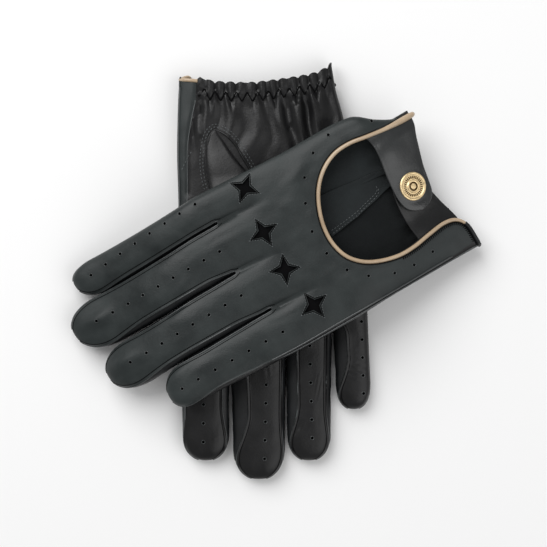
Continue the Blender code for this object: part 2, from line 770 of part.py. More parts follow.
def spline_point(points, i, t):
    """A point on the smooth curve through points, between number i and the next."""
    before, after = points[max(0, i - 1)], points[min(len(points) - 1, i + 2)]
    a, b = points[i], points[i + 1]
    return tuple(
        0.5 * (2 * a[k] + (b[k] - before[k]) * t
               + (2 * before[k] - 5 * a[k] + 4 * b[k] - after[k]) * t * t
               + (3 * a[k] - before[k] - 3 * b[k] + after[k]) * t ** 3)
        for k in range(2)
    )


def make_star_underlay(side):
    """The strip of dark leather glued behind the four star cut-outs."""
    glove = GLOVES[side]
    roots = [point for number in range(4) for point in root_points(glove, number, "back")]
    first, last = glove["stars"][0][0] - 9 * MM, glove["stars"][-1][0] + 7 * MM
    depth = LEATHER + 0.45 * MM
    rows = []
    for v in mm([(84.0,), (91.0,), (98.0,), (105.0,)]):
        row = []
        for root in roots[1:]:
            if root[2] < 2.5 * MM:
                continue
            u, _, h = hand_point(glove, "back", root, 1 - (root[1] - v[0]) / (root[1] + 2.5 * MM),
                                 -2.5 * MM)
            if first < u < last:
                row.append(placed(glove, u, v[0], h - depth))
        rows.append(row)
    shortest = min(len(row) for row in rows)
    rows = [row[:shortest] for row in rows]
    return thicken(loft(side + "_star_underlay", rows, not glove["back_up"], "leather_underlay"),
                   UNDERLAY_THICKNESS)


# ---------------------------------------------------------------- press fastener

def turned(name, side, profile, height, material="brass"):
    """A turned piece on the fastener's axis. The profile is (radius, height), top to bottom."""
    mesh = bpy.data.meshes.new(name)
    points = [(radius, 0, level) for radius, level in profile]
    mesh.from_pydata(points, [(i, i + 1) for i in range(len(points) - 1)], [])
    obj = add_object(name, mesh, material)
    screw = obj.modifiers.new("turn", "SCREW")
    screw.steps = screw.render_steps = 20
    screw.use_merge_vertices = True
    screw.merge_threshold = 0.00001
    screw.use_smooth_shade = True
    obj.matrix_world = frame_at(GLOVES[side], *SNAP_AT, height)
    return obj


def make_fastener(side):
    """Cap and socket on the strap, stud and rivet post on the under tab."""
    under_strap = -STRAP_THICKNESS - FASTENER_GAP
    cap_base = FASTENER_GAP
    turned(side + "_snap_cap", side, [
        (0, cap_base + CAP_HEIGHT), (CAP_RADIUS - 0.6 * MM, cap_base + CAP_HEIGHT),
        (CAP_RADIUS, cap_base + CAP_HEIGHT - 0.4 * MM), (CAP_RADIUS, cap_base),
        (STEM_RADIUS, cap_base), (STEM_RADIUS, under_strap), (0, under_strap),
    ], STRAP_TOP)
    turned(side + "_snap_socket", side, [
        (SOCKET_BORE, under_strap), (SOCKET_RADIUS, under_strap),
        (SOCKET_RADIUS - 0.4 * MM, under_strap - 1.0 * MM), (SOCKET_BORE, under_strap - 1.0 * MM),
        (SOCKET_BORE, under_strap),
    ], STRAP_TOP)
    turned(side + "_snap_stud", side, [
        (0, 1.75 * MM), (STUD_RADIUS, 1.55 * MM), (STUD_RADIUS, 0.7 * MM),
        (STUD_FLANGE_RADIUS, 0.7 * MM), (STUD_FLANGE_RADIUS, FASTENER_GAP), (0, FASTENER_GAP),
    ], TAB_TOP)
    under_tab = -STRAP_THICKNESS - FASTENER_GAP
    turned(side + "_snap_post", side, [
        (0, 0), (STEM_RADIUS, 0), (STEM_RADIUS, under_tab), (3.4 * MM, under_tab),
        (3.4 * MM, under_tab - 0.4 * MM), (0, under_tab - 0.4 * MM),
    ], TAB_TOP)


def droop(obj):
    """Bends a finished piece of the flat upper glove."""
    graph = bpy.context.evaluated_depsgraph_get()
    mesh = bpy.data.meshes.new_from_object(obj.evaluated_get(graph), depsgraph=graph)
    for vertex in mesh.vertices:
        vertex.co = bent(vertex.co)
    replacement = bpy.data.objects.new(obj.name + "_drooped", mesh)
    PARTS.objects.link(replacement)
    name = obj.name
    bpy.data.objects.remove(obj)
    replacement.name = name


def make_glove(side):
    back = make_panel(side, "back")
    cut_keyhole(side, back)
    cut_stars(side, back)
    palm = make_panel(side, "palm")
    cut_thumb_hole(side, palm)
    for number in range(3):
        make_fourchette(side, number)
    make_thumb(side)
    make_strap(side)
    make_under_tab(side)
    make_elastic(side)
    make_piping(side)
    make_star_underlay(side)
    if GLOVES[side]["droops"]:
        bpy.context.view_layer.update()
        for obj in list(PARTS.objects):
            if obj.name.startswith(side):
                droop(obj)
    make_fastener(side)


clear_scene()
PARTS, CUTTERS = make_collections()
MATERIALS = make_materials()
for glove_side in GLOVES:
    make_glove(glove_side)
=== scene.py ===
# %% [markdown]
# # A pair of leather driving gloves
# The pair lies crossed: the right glove palm up, and the left glove over it, back up.
# A CAD model already says where every piece is, so the first step loads it as a fixed frame.

import math

import bpy
from mathutils import Matrix, Vector, noise


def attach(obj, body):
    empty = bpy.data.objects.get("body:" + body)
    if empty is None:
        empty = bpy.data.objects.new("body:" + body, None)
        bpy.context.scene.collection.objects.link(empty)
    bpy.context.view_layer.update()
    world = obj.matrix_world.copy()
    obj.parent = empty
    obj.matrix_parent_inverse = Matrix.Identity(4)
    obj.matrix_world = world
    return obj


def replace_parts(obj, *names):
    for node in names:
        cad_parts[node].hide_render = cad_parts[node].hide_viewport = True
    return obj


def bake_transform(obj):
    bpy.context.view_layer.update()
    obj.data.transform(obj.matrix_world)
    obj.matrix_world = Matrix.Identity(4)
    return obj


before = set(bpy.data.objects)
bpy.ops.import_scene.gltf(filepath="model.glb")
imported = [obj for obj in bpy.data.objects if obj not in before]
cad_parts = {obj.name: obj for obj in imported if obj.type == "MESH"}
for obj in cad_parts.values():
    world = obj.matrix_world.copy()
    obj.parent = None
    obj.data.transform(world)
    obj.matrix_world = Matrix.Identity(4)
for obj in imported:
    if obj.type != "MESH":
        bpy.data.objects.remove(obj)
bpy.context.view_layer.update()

# %% [markdown]
# ## Measures
# Leather work is drawn in millimetres, and Blender works in metres. Two small helpers make
# the drawings readable: one scales a list of measured points, the other blends two numbers.
# A third draws a smooth curve through measured points, as a pattern cutter's bent ruler does.

# %% Measures and small helpers
MM = 0.001


def mm(points):
    return [tuple(value * MM for value in point) for point in points]


def mix(a, b, t):
    return a + (b - a) * t


def smooth(t):
    t = min(1.0, max(0.0, t))
    return t * t * (3 - 2 * t)


def along(points, x):
    """The height at x of a smooth curve through (x, height) points."""
    if x <= points[0][0]:
        return points[0][1]
    if x >= points[-1][0]:
        return points[-1][1]
    slopes = [(b[1] - a[1]) / (b[0] - a[0]) for a, b in zip(points, points[1:])]
    tangents = [slopes[0]] + [
        0.0 if a * b <= 0 else 2 * a * b / (a + b) for a, b in zip(slopes, slopes[1:])
    ] + [slopes[-1]]
    i = max(k for k in range(len(points) - 1) if points[k][0] <= x)
    (x0, y0), (x1, y1) = points[i], points[i + 1]
    step = x1 - x0
    t = (x - x0) / step
    return (y0 * (1 + 2 * t) * (1 - t) ** 2 + tangents[i] * step * t * (1 - t) ** 2
            + y1 * t * t * (3 - 2 * t) + tangents[i + 1] * step * t * t * (t - 1))


def hump(distance, width):
    """A soft bell, 1 in the middle, that fades over the width."""
    return math.exp(-(distance / width) ** 2)


print("one inch is", round(25.4 * MM, 4), "of the scene's metres")

# %% [markdown]
# ## The pattern of each glove
# A glove is drawn flat in its own lay coordinates: u runs to the thumb side, v from the cuff
# to the fingertips, and h from the palm side to the back side. A left glove seen on its back
# and a right glove seen on its palm have the same outline, so one way of drawing does for both.
# Fingers are listed from the little finger to the index, as the tip's middle, its half width, its
# v and the length of its rounding. Roots are the five ends of the finger seams, clefts among them.
# Insets say how far in a panel's seams run on each finger, first on the little side.

# %% The pattern's measures
HAND_HALF_HEIGHT = 6.5 * MM
HAND_SQUARENESS = 3.6
FINGER_SQUARENESS = 2.7
FINGER_HALF_HEIGHT = (6.2 * MM, 5.3 * MM)
KNUCKLE_REACH = 30 * MM
ROOT_INSET = 0.9 * MM
LEATHER = 0.8 * MM

PATTERNS = {
    "left": {
        "back_up": True,
        "cuff_at": (89.86 * MM, 48.82 * MM),
        "heading": 210,
        "droops": True,
        "thumb_side": mm([(-4, 37.9), (8, 40.9), (16, 45.0), (29, 53.6), (44, 55.0),
                          (64, 54.9), (81, 55.7), (100, 56.9), (118, 58.0)]),
        "little_side": mm([(-8, -38.2), (30, -38.9), (60, -38.6), (100, -38.6), (118, -37.9)]),
        "roots": mm([(-37.9, 118.0), (-12.2, 112.8), (13.3, 119.8), (40.2, 114.9), (58.0, 118.0)]),
        "fingers": mm([(-24.0, 11.2, 183.5, 16.0), (0.4, 12.1, 207.0, 19.0),
                       (27.0, 12.9, 210.0, 20.0), (49.3, 9.0, 197.0, 14.0)]),
        "back_insets": mm([(2.2, 1.1), (2.4, 1.0), (2.6, 1.0), (1.0, 0.0)]),
        "palm_insets": mm([(0.0, 1.6), (1.6, 1.6), (1.6, 1.6), (1.6, 3.0)]),
        "hem": mm([(-38.2, 2.0), (-26, 5.5), (-14, 9.5), (0, 11.0), (16, 9.0), (30, 3.5), (38, 0.5)]),
        "thumb_at": (27.0 * MM, 46.0 * MM),
        "thumb_heading": 156,
    },
    "right": {
        "back_up": False,
        "cuff_at": (-10.04 * MM, 100.82 * MM),
        "heading": 270,
        "droops": False,
        "thumb_side": mm([(-4, 40.2), (12, 41.1), (37, 41.6), (65, 40.9), (118, 41.0)]),
        "little_side": mm([(-8, -40.0), (4, -42.1), (20, -46.3), (60, -52.3), (100, -57.2),
                           (118, -58.6)]),
        "roots": mm([(-58.6, 120.0), (-39.9, 112.0), (-15.7, 119.0), (14.0, 115.0), (41.0, 118.0)]),
        "fingers": mm([(-51.4, 9.0, 172.3, 14.0), (-27.9, 11.2, 199.3, 15.0),
                       (-1.6, 13.4, 209.2, 18.0), (26.5, 12.1, 199.3, 15.0)]),
        "back_insets": mm([(1.6, 1.6), (1.6, 1.6), (1.6, 1.6), (1.6, 0.0)]),
        "palm_insets": mm([(0.0, 6.6), (2.4, 5.4), (1.6, 8.2), (3.2, 1.8)]),
        "hem": mm([(-41.5, -8.8), (-38, -6.2), (-32, -3.4), (-15, -0.2), (5, 1.9), (22, 1.2),
                   (30, -0.8), (41, -1.2)]),
        "thumb_at": (11.0 * MM, 46.0 * MM),
        "thumb_heading": 98,
    },
}
FINGER_NAMES = ("little", "ring", "middle", "index")
SNAP_AT = (5.9 * MM, 17.4 * MM)
KEYHOLE = mm([
    (37.8, -2.5), (38.0, 6.0), (38.7, 16.0), (40.2, 26.5), (41.6, 35.5), (40.9, 44.5),
    (37.0, 53.0), (30.5, 60.0), (22.0, 65.0), (12.0, 68.2), (2.0, 68.8), (-7.5, 66.2),
    (-14.6, 60.0), (-19.0, 51.5), (-21.5, 41.5), (-21.5, 32.0), (-20.0, 22.0),
    (-18.9, 12.5), (-20.6, 5.8), (-25.9, 2.2), (-35.0, 1.6),
])
PATTERNS["left"]["keyhole"] = KEYHOLE
PATTERNS["right"]["keyhole"] = [(u * 0.93 if u > 0 else u, v) for u, v in KEYHOLE]
for glove_name, pattern in PATTERNS.items():
    longest = max(finger[2] for finger in pattern["fingers"])
    print(glove_name, "glove is", round(longest / MM), "mm long")

# %% [markdown]
# ## Laying the pair
# Each drawing is turned to its heading and set down. The right glove is turned over, so its
# h axis points at the table. The left glove rests on the thumbs of both and on the other glove,
# so its two ends droop to the table: the leather is bent, not sheared, and its back keeps its plan.

# %% Place a point of the pattern on the table
THUMB_LAYER = 7.4 * MM
UPPER_LEVEL = 3 * HAND_HALF_HEIGHT + THUMB_LAYER
DROOP = 18.6 * MM
DROOP_START = 43 * MM
DROOP_END = 107.5 * MM


def placed(side, u, v, h):
    """The place on the table of a flat glove's point."""
    glove = PATTERNS[side]
    heading = math.radians(glove["heading"])
    x = glove["cuff_at"][0] + u * math.sin(heading) + v * math.cos(heading)
    y = glove["cuff_at"][1] - u * math.cos(heading) + v * math.sin(heading)
    if glove["back_up"]:
        return Vector((x, y, UPPER_LEVEL + h))
    return Vector((x, y, HAND_HALF_HEIGHT - h))


def bent(point):
    """Where a point of the flat upper glove is once its ends droop."""
    past = (abs(point.x) - DROOP_START) / (DROOP_END - DROOP_START)
    past = min(1.0, max(0.0, past))
    slope = 6 * past * (1 - past) * DROOP / (DROOP_END - DROOP_START)
    lean = math.atan(math.copysign(slope, point.x))
    under = point.z - (UPPER_LEVEL + HAND_HALF_HEIGHT)
    return Vector((point.x + under * math.sin(lean), point.y,
                   point.z - under - DROOP * smooth(past) + under * math.cos(lean)))


def laid(side, u, v, h):
    """The final place of a glove's point."""
    point = placed(side, u, v, h)
    return bent(point) if PATTERNS[side]["droops"] else point


print("left middle fingertip lies at", [round(c / MM) for c in laid("left", 0.027, 0.21, 0)], "mm")

# %% [markdown]
# ## The form of a finger and of the hand
# An empty glove lies as a flattened tube. A superellipse draws that section well: nearly flat on
# top and round at the sides. Every finger has one that slims towards the tip, and the hand has a
# broad one. Over the last 30 mm before the knuckles the hand's shape turns into the four fingers'.

# %% Sections of finger and hand


def rounded(half_width, half_height, squareness, angle):
    c, s = math.cos(angle), math.sin(angle)
    power = 2 / squareness
    return (half_width * math.copysign(abs(c) ** power, c),
            half_height * math.copysign(abs(s) ** power, s))


def seam_angle(inset, half_width):
    """Where on the section a seam lies that is this far in from the finger's side."""
    share = max(0.0, 1 - inset / half_width)
    return math.acos(share ** (FINGER_SQUARENESS / 2))


def finger_at(side, number, v):
    """Middle, half width, half height and level of a finger at v."""
    glove = PATTERNS[side]
    low, high = glove["roots"][number], glove["roots"][number + 1]
    root_half = (high[0] - low[0]) / 2 - 0.15 * MM
    root_v = (low[1] + high[1]) / 2
    tip_middle, tip_half, tip_v, tip_length = glove["fingers"][number]
    t = (v - root_v) / (tip_v - tip_length - root_v)
    middle = mix((low[0] + high[0]) / 2, tip_middle, min(1.0, max(0.0, t)))
    half = mix(root_half, tip_half, smooth(t))
    height = mix(*FINGER_HALF_HEIGHT, min(1.0, max(0.0, t)))
    rest_side = -1 if glove["back_up"] else 1
    level = rest_side * (HAND_HALF_HEIGHT - height) * smooth(t * 3)
    over = (v - (tip_v - tip_length)) / tip_length
    if over > 0:
        shrink = max(0.0, 1 - min(1.0, over) ** 2.3) ** (1 / 2.2)
        half, height = half * shrink, height * shrink
    return middle, half, height, level


def inset_at(side, number, part, thumb_side, v):
    """How far in from the finger's side a panel's seam runs."""
    glove = PATTERNS[side]
    low, high = glove["roots"][number], glove["roots"][number + 1]
    root_v = (low[1] + high[1]) / 2
    _, _, tip_v, tip_length = glove["fingers"][number]
    full = glove[part + "_insets"][number][1 if thumb_side else 0]
    wide = mix(ROOT_INSET, full, smooth((v - root_v) / (18 * MM)))
    return wide * (1 - smooth((v - (tip_v - 2.0 * tip_length)) / (1.8 * tip_length)))


def panel_span(side, number, part, v):
    """First and last section angle of a panel on a finger, little side first."""
    half = max(finger_at(side, number, v)[1], 0.3 * MM)
    other = "palm" if part == "back" else "back"
    little = math.pi - seam_angle(inset_at(side, number, part, False, v), half)
    thumb = seam_angle(inset_at(side, number, part, True, v), half)
    if part == "back" and number == 3:
        thumb = -seam_angle(inset_at(side, number, other, True, v), half)
    if part == "palm" and number == 0:
        little = math.pi + seam_angle(inset_at(side, number, other, False, v), half)
    return little, thumb


print("middle finger half way:", [round(x / MM, 1) for x in finger_at("left", 2, 0.16)], "mm")

# %% [markdown]
# ## Landmarks of the relief
# Some features of the surface sit at known places: the stars over the knuckles, hollows where an
# empty fingertip sinks in, and the short creases that a hand has pressed into the palm's fingers.
# The keyhole's edge lifts the leather round it, so its distance is needed at every point.

# %% Stars, hollows, creases and the keyhole's distance
STARS = {"left": mm([(-21.4, 92.9), (1.9, 96.8), (24.0, 96.7), (48.6, 93.7)]),
         "right": mm([(-42.4, 92.9), (-19.4, 96.8), (3.6, 96.7), (28.6, 93.7)])}
TIP_HOLLOWS = mm([(28.5, 196.0), (2.5, 194.0)])
PALM_CREASES = {
    "left": [],
    "right": [(20 * MM, 188 * MM, 0.7), (-33 * MM, 160 * MM, 0.5), (-6 * MM, 150 * MM, -0.3),
              (-24 * MM, 186 * MM, 0.4), (-52 * MM, 150 * MM, 0.4)],
}
SEED = {("left", 1): 1.0, ("left", -1): 7.0, ("right", 1): 13.0, ("right", -1): 19.0}


def keyhole_distance(side, u, v):
    """Distance to the keyhole's edge, less than zero inside the keyhole."""
    best, inside = 1.0, False
    edge = PATTERNS[side]["keyhole"]
    for (u0, v0), (u1, v1) in zip(edge, edge[1:]):
        du, dv = u1 - u0, v1 - v0
        t = min(1.0, max(0.0, ((u - u0) * du + (v - v0) * dv) / (du * du + dv * dv)))
        best = min(best, math.hypot(u - u0 - t * du, v - v0 - t * dv))
        if (v0 > v) != (v1 > v) and u < u0 + (v - v0) / dv * du:
            inside = not inside
    return -best if inside else best


print("the keyhole's edge is", round(-keyhole_distance("left", 0, 0.04) / MM), "mm from its middle")

# %% [markdown]
# ## Gathers of the cuff
# A zigzag stitch holds stretched elastic inside the palm's cuff. When the elastic lets go, the
# leather stands up in petals above the zigzag and falls into folds below it. Each pair of folds
# then runs together into one broad ridge that bends and fades towards the hand. A formula places
# the tucks where the zigzag turns, which a cloth simulation would only do by chance.

# %% Tucks at the hem and the folds below them
GATHERS = 15
GATHER_LINE = 6.4 * MM
ZIGZAG_SWING = 2.5 * MM
STRIP_SEAM = mm([(-2, 30.5), (10, 31.7), (23, 34.3), (36, 35.9), (62, 35.9), (90, 37.5), (118, 40.2)])


def gather_phase(side, u, v):
    """Which tuck of the gathered cuff this is. Tucks bend and spread as they leave the hem."""
    left, right = along(PATTERNS[side]["little_side"], v), along(PATTERNS[side]["thumb_side"], v)
    sway = 0.55 * math.sin(v / (11 * MM) + u / (9 * MM)) * smooth((v - 12 * MM) / (20 * MM))
    return (u - left) / (right - left) * GATHERS + sway


def zigzag(phase):
    """Where the zigzag stitch stands in its swing, from -1 to 1."""
    return 4 * abs(phase % 1 - 0.5) - 1


def hem_at(side, u):
    """The cuff's edge: a small scallop over each tuck, and plain on the folded strip."""
    phase = gather_phase(side, u, 0)
    scallop = 1.5 * MM * abs(math.cos(math.pi * phase)) ** 0.6 if u < STRIP_SEAM[0][1] else 0.0
    return along(PATTERNS[side]["hem"], u) - scallop


def gather_relief(side, u, v):
    """Tucks that the elastic pulls into the palm at the cuff, fading towards the hand."""
    phase = gather_phase(side, u, v)
    hem = along(PATTERNS[side]["hem"], u)
    wave = zigzag(phase)
    below = v - (hem + GATHER_LINE + ZIGZAG_SWING * wave)
    fold = -wave * math.exp(-(max(0.0, below) / (9 * MM)) ** 1.4)
    strength = 0.55 + 0.9 * noise.noise((phase * 0.31, 7.7, 2.0))
    ridge = strength * math.cos(math.pi * phase + 2.2 * noise.noise((phase * 0.4, v / (26 * MM), 5.0)))
    ridge *= smooth(below / (7 * MM)) * smooth((48 * MM - v) / (30 * MM))
    petal = 1.5 * MM * (abs(math.cos(math.pi * phase)) - 0.55)
    height = mix(petal, 1.1 * MM * fold, smooth(below / (3 * MM) + 0.5)) + 2.1 * MM * ridge
    height -= 0.5 * MM * hump(below, 2.2 * MM)
    if height < 0:
        # Folds stay shallow behind the fastener, so that its post has room when the tab bends.
        height *= 1 - 0.85 * hump(math.hypot(u - SNAP_AT[0], v - SNAP_AT[1]), 11 * MM)
    thumb_end = along(STRIP_SEAM, v) if side == "right" else along(PATTERNS[side]["thumb_side"], v)
    sides = smooth((thumb_end - u) / (2.2 * MM)) * smooth(phase / 0.5)
    if side == "left":
        sides *= 0.7 * (1 - smooth((v - 24 * MM) / (10 * MM)))
    return height * sides - (0.9 * MM * hump(u - thumb_end, 0.9 * MM) if side == "right" else 0.0)


cuff_width = along(PATTERNS["right"]["thumb_side"], 0) - along(PATTERNS["right"]["little_side"], 0)
print("a tuck is", round(cuff_width / GATHERS / MM, 1), "mm wide")

# %% [markdown]
# ## Soft relief of worn leather
# Real leather is never a perfect tube. It has slow hollows where nothing fills it, valleys that
# run back from the finger clefts, a roll along a bound edge, and small tucks where elastic gathers
# it. All of it is added as one small height, outwards from the ideal form, so each habit of the
# leather is one line that can be read and changed.

# %% Relief of the leather
def relief(side, face, u, v):
    """Height of the leather over its ideal form, on the back (face 1) or the palm (face -1)."""
    glove = PATTERNS[side]
    where = (u / (17 * MM), v / (23 * MM), SEED[side, face])
    height = 0.55 * MM * noise.noise(where)
    height += 0.26 * MM * noise.noise((where[0] * 3.1, where[1] * 2.3, where[2] + 5))
    for cleft_u, cleft_v in glove["roots"][1:4]:
        back = cleft_v - v
        if 0 < back < 45 * MM:
            height -= 0.45 * MM * hump(u - cleft_u, 4.2 * MM) * (1 - smooth(back / (24 * MM)))
    if face == 1:
        distance = keyhole_distance(side, u, v) if v < 95 * MM else 1.0
        height += 0.35 * MM * hump(distance - 4 * MM, 2.5 * MM)
        height += 0.7 * MM * hump(distance - 12 * MM, 5 * MM)
        for hollow_u, hollow_v in TIP_HOLLOWS if side == "left" else ():
            height -= 2.1 * MM * hump(u - hollow_u, 3.4 * MM) * hump(v - hollow_v, 9 * MM)
    elif v < 60 * MM:
        height += gather_relief(side, u, v)
    if face == -1:
        for crease_u, crease_v, lean in PALM_CREASES[side]:
            near = hump(u - crease_u, 5 * MM) * hump(v - crease_v, 7 * MM)
            height += 0.3 * MM * near * math.cos(2 * math.pi * (v + lean * u) / (3.1 * MM))
    return height


print("leather over a tuck:", round(relief("right", -1, 0.0, 0.02) / MM, 2), "mm")

# %% [markdown]
# ## The skin of a glove
# The back and the palm are each one piece of leather that runs unbroken into four finger halves.
# As a mesh, that is one wide grid over the hand whose last row feeds four narrow grids, so no seam
# shows at the knuckles. Faces by hand are the plain way here: a sculpt could not be repeated, and a
# subdivided cage would round off the clefts.

# %% Points of the skin
COLUMNS = 26
WRAP_COLUMNS = 34
HAND_ROWS = 96
FINGER_ROWS = 52
TIP_ROWS = 12


def part_face(part):
    return 1 if part == "back" else -1


def finger_skin(side, number, part, v, angle, lift=0.0):
    """A lay point on a finger's skin."""
    middle, half, height, level = finger_at(side, number, v)
    across, up = rounded(half, height, FINGER_SQUARENESS, angle)
    face = part_face(part) * (1 if up >= 0 else -1)
    own = part_face(part)
    fullness = min(1.0, abs(up) / max(height, 1e-6))
    bump = relief(side, face, middle + across, v) * fullness * min(1.0, half / (6 * MM))
    return middle + across, v, level + own * (up + math.copysign(bump + lift, up))


def side_limits(side, v):
    glove = PATTERNS[side]
    return along(glove["little_side"], v), along(glove["thumb_side"], v)


def body_height(share):
    across = min(1.0, abs(2 * share - 1))
    rise = HAND_HALF_HEIGHT * (1 - across ** HAND_SQUARENESS) ** (1 / HAND_SQUARENESS)
    return min(rise * 1.02, HAND_HALF_HEIGHT)


def root_line(side, u):
    roots = PATTERNS[side]["roots"]
    if u <= roots[0][0]:
        return roots[0][1]
    for low, high in zip(roots, roots[1:]):
        if u <= high[0]:
            return mix(low[1], high[1], (u - low[0]) / (high[0] - low[0]))
    return roots[-1][1]


def hand_skin(side, part, root, t, start, lift=0.0):
    """A lay point on the hand's skin, on the column that ends at a finger's root point."""
    root_u, root_v, root_h = root
    low, high = PATTERNS[side]["roots"][0][0], PATTERNS[side]["roots"][-1][0]
    share = (root_u - low) / (high - low)
    v = mix(start, root_v, t)
    left, right = side_limits(side, v)
    u = mix(left, right, share)
    own = part_face(part)
    up = 1 if own * root_h >= 0 else -1
    rise = body_height(share)
    near = smooth(1 - (root_v - v) / KNUCKLE_REACH)
    bump = relief(side, own * up, u, v) * rise / HAND_HALF_HEIGHT
    return u, v, mix(own * up * (rise + bump), root_h, near) + own * up * lift


print("the hand is", COLUMNS * 3 + WRAP_COLUMNS, "columns wide")

# %% [markdown]
# ## Bench work
# Every leather piece goes through the same hands: it is cut as a surface, given its thickness,
# and laid. The thickness comes from a solidify modifier, whose inner face takes the suede. Pieces
# are fixed as plain meshes at the end, because the upper glove's bend moves their vertices.

# %% Build, thicken and finish a piece


def new_piece(name, vertices, faces, smooth_shaded=True):
    mesh = bpy.data.meshes.new(name)
    mesh.from_pydata([tuple(p) for p in vertices], [], faces)
    mesh.validate()
    if smooth_shaded:
        mesh.shade_smooth()
    piece = bpy.data.objects.new(name, mesh)
    bpy.context.scene.collection.objects.link(piece)
    return piece


def finished(piece, bend=False, crisp=math.radians(48)):
    """Fixes a piece's modifiers in its mesh, bends it if it is the upper glove's, and shades it."""
    bpy.context.view_layer.update()
    graph = bpy.context.evaluated_depsgraph_get()
    mesh = bpy.data.meshes.new_from_object(piece.evaluated_get(graph), depsgraph=graph)
    piece.modifiers.clear()
    piece.data = mesh
    if bend:
        for vertex in mesh.vertices:
            vertex.co = bent(vertex.co)
    mesh.shade_smooth()
    mesh.set_sharp_from_angle(angle=crisp)
    return piece


def thicken(piece, thickness):
    """Gives a surface its thickness, inwards from its outer face."""
    solidify = piece.modifiers.new("thickness", "SOLIDIFY")
    solidify.thickness = thickness
    solidify.offset = -1
    solidify.material_offset = 1
    return piece


print("panels are cut", LEATHER / MM, "mm thick")

# %% [markdown]
# ## The panel as one skin
# The outer sides of a glove have no seam at the edge: the index's back folds round to the palm,
# and the little finger's palm folds round to the back. So the outermost finger of each panel wraps
# past the side, and where the other leather shows, its faces take that leather's material.

# %% Cut a back or a palm
LITTLE_SEAM = mm([(-2, -34.2), (17, -36.2), (50, -36.4), (80, -35.9), (110, -35.9), (139, -34.6),
                  (156, -33.4), (172, -31.5)])


def is_strip(side, part, u, v):
    """Whether this spot shows the other panel's leather, which is folded round the side."""
    if (side, part) == ("right", "palm"):
        return u > along(STRIP_SEAM, v) and v < 112 * MM
    return (side, part) == ("left", "back") and u < along(LITTLE_SEAM, v) and v < 150 * MM


def panel_leathers(part):
    """A panel's own leather, its suede side, and the other panel's leather."""
    return (BACK_LEATHER, SUEDE, PALM_LEATHER) if part == "back" else (PALM_LEATHER, SUEDE, BACK_LEATHER)


def panel_mesh(side, part):
    """The open skin of a back or palm, flat on the table."""
    vertices, faces, spots = [], [], []
    flip = (part == "palm") == PATTERNS[side]["back_up"]

    def strip(near, far):
        for i in range(len(near) - 1):
            quad = (near[i], near[i + 1], far[i + 1], far[i])
            faces.append(quad[::-1] if flip else quad)

    def add(points):
        first = len(vertices)
        vertices.extend(placed(side, *point) for point in points)
        spots.extend(point[:2] for point in points)
        return list(range(first, len(vertices)))

    roots, counts = [], []
    for number in range(4):
        wraps = (part == "back" and number == 3) or (part == "palm" and number == 0)
        columns = WRAP_COLUMNS if wraps else COLUMNS
        low, high = PATTERNS[side]["roots"][number], PATTERNS[side]["roots"][number + 1]
        middle_v = (low[1] + high[1]) / 2
        first, last = panel_span(side, number, part, middle_v)
        for i in range(columns + 1):
            u, _, h = finger_skin(side, number, part, middle_v, mix(first, last, i / columns))
            roots.append((u, root_line(side, u), h))
        counts.append(columns)
    roots_low, roots_high = PATTERNS[side]["roots"][0][0], PATTERNS[side]["roots"][-1][0]
    edge_roots = (roots[0], roots[-1])
    near = None
    for row in range(HAND_ROWS + 1):
        points = []
        for root in roots:
            share = (root[0] - roots_low) / (roots_high - roots_low)
            start = -2.5 * MM if part == "back" else hem_at(side, mix(*side_limits(side, 0), share))
            t = row / HAND_ROWS
            points.append(hand_skin(side, part, root, mix(t, t ** 1.6, 0.6), start,
                                    -0.5 * MM if root in edge_roots else 0.0))
        far = add(points)
        if near:
            strip(near, far)
        near = far
    knuckles, begin = near, 0
    for number in range(4):
        columns = counts[number]
        near = knuckles[begin:begin + columns + 1]
        own_roots = roots[begin:begin + columns + 1]
        begin += columns + 1
        _, _, tip_v, tip_length = PATTERNS[side]["fingers"][number]
        shoulder = tip_v - tip_length
        stations = [(k / FINGER_ROWS, None) for k in range(1, FINGER_ROWS + 1)]
        stations += [(None, shoulder + tip_length * math.sin(math.pi / 2 * k / (TIP_ROWS + 1)))
                     for k in range(1, TIP_ROWS + 1)]
        for share, tip_station in stations:
            points = []
            for i in range(columns + 1):
                v = tip_station if share is None else mix(own_roots[i][1], shoulder, share)
                first, last = panel_span(side, number, part, v)
                sunk = {0: -0.7 * MM, 1: -0.3 * MM}.get(min(i, columns - i), 0.0)
                points.append(finger_skin(side, number, part, v, mix(first, last, i / columns),
                                          sunk * smooth((tip_v - v) / (8 * MM))))
            far = add(points)
            strip(near, far)
            near = far
        tip_middle, _, _, level = finger_at(side, number, tip_v)
        tip = add([(tip_middle, tip_v, level)])[0]
        for i in range(columns):
            face = (near[i], near[i + 1], tip)
            faces.append(face[::-1] if flip else face)
    panel = new_piece(f"{side}_{part}_leather", vertices, faces)
    for material in panel_leathers(part):
        panel.data.materials.append(material)
    for face in panel.data.polygons:
        u = sum(spots[k][0] for k in face.vertices) / len(face.vertices)
        v = sum(spots[k][1] for k in face.vertices) / len(face.vertices)
        face.material_index = 2 if is_strip(side, part, u, v) else 0
    return panel


print("the folded side of the palm ends", round(along(STRIP_SEAM, 0.03) / MM, 1), "mm from its middle")

# %% [markdown]
# ## Vent holes
# Driving gloves are ventilated: one row of small punched holes runs up each finger, and on the
# back a ring of them follows the keyhole. Rows on the seen faces are measured, with a slight bow
# where the hand's is. Rows on the hidden faces follow the middle of each finger.

# %% Rows of vent holes
VENT_RADIUS = 0.78 * MM


def row_of(first, last, count, bow=0.0):
    """Points from first to last, bowed sideways in the middle."""
    points = []
    for i in range(count):
        t = i / (count - 1)
        points.append((mix(first[0], last[0], t) + bow * 4 * t * (1 - t), mix(first[1], last[1], t)))
    return points


def finger_vents(side, number, first_v, last_v, count):
    """A row of holes up the middle of a finger."""
    return [(finger_at(side, number, mix(first_v, last_v, i / (count - 1)))[0],
             mix(first_v, last_v, i / (count - 1))) for i in range(count)]


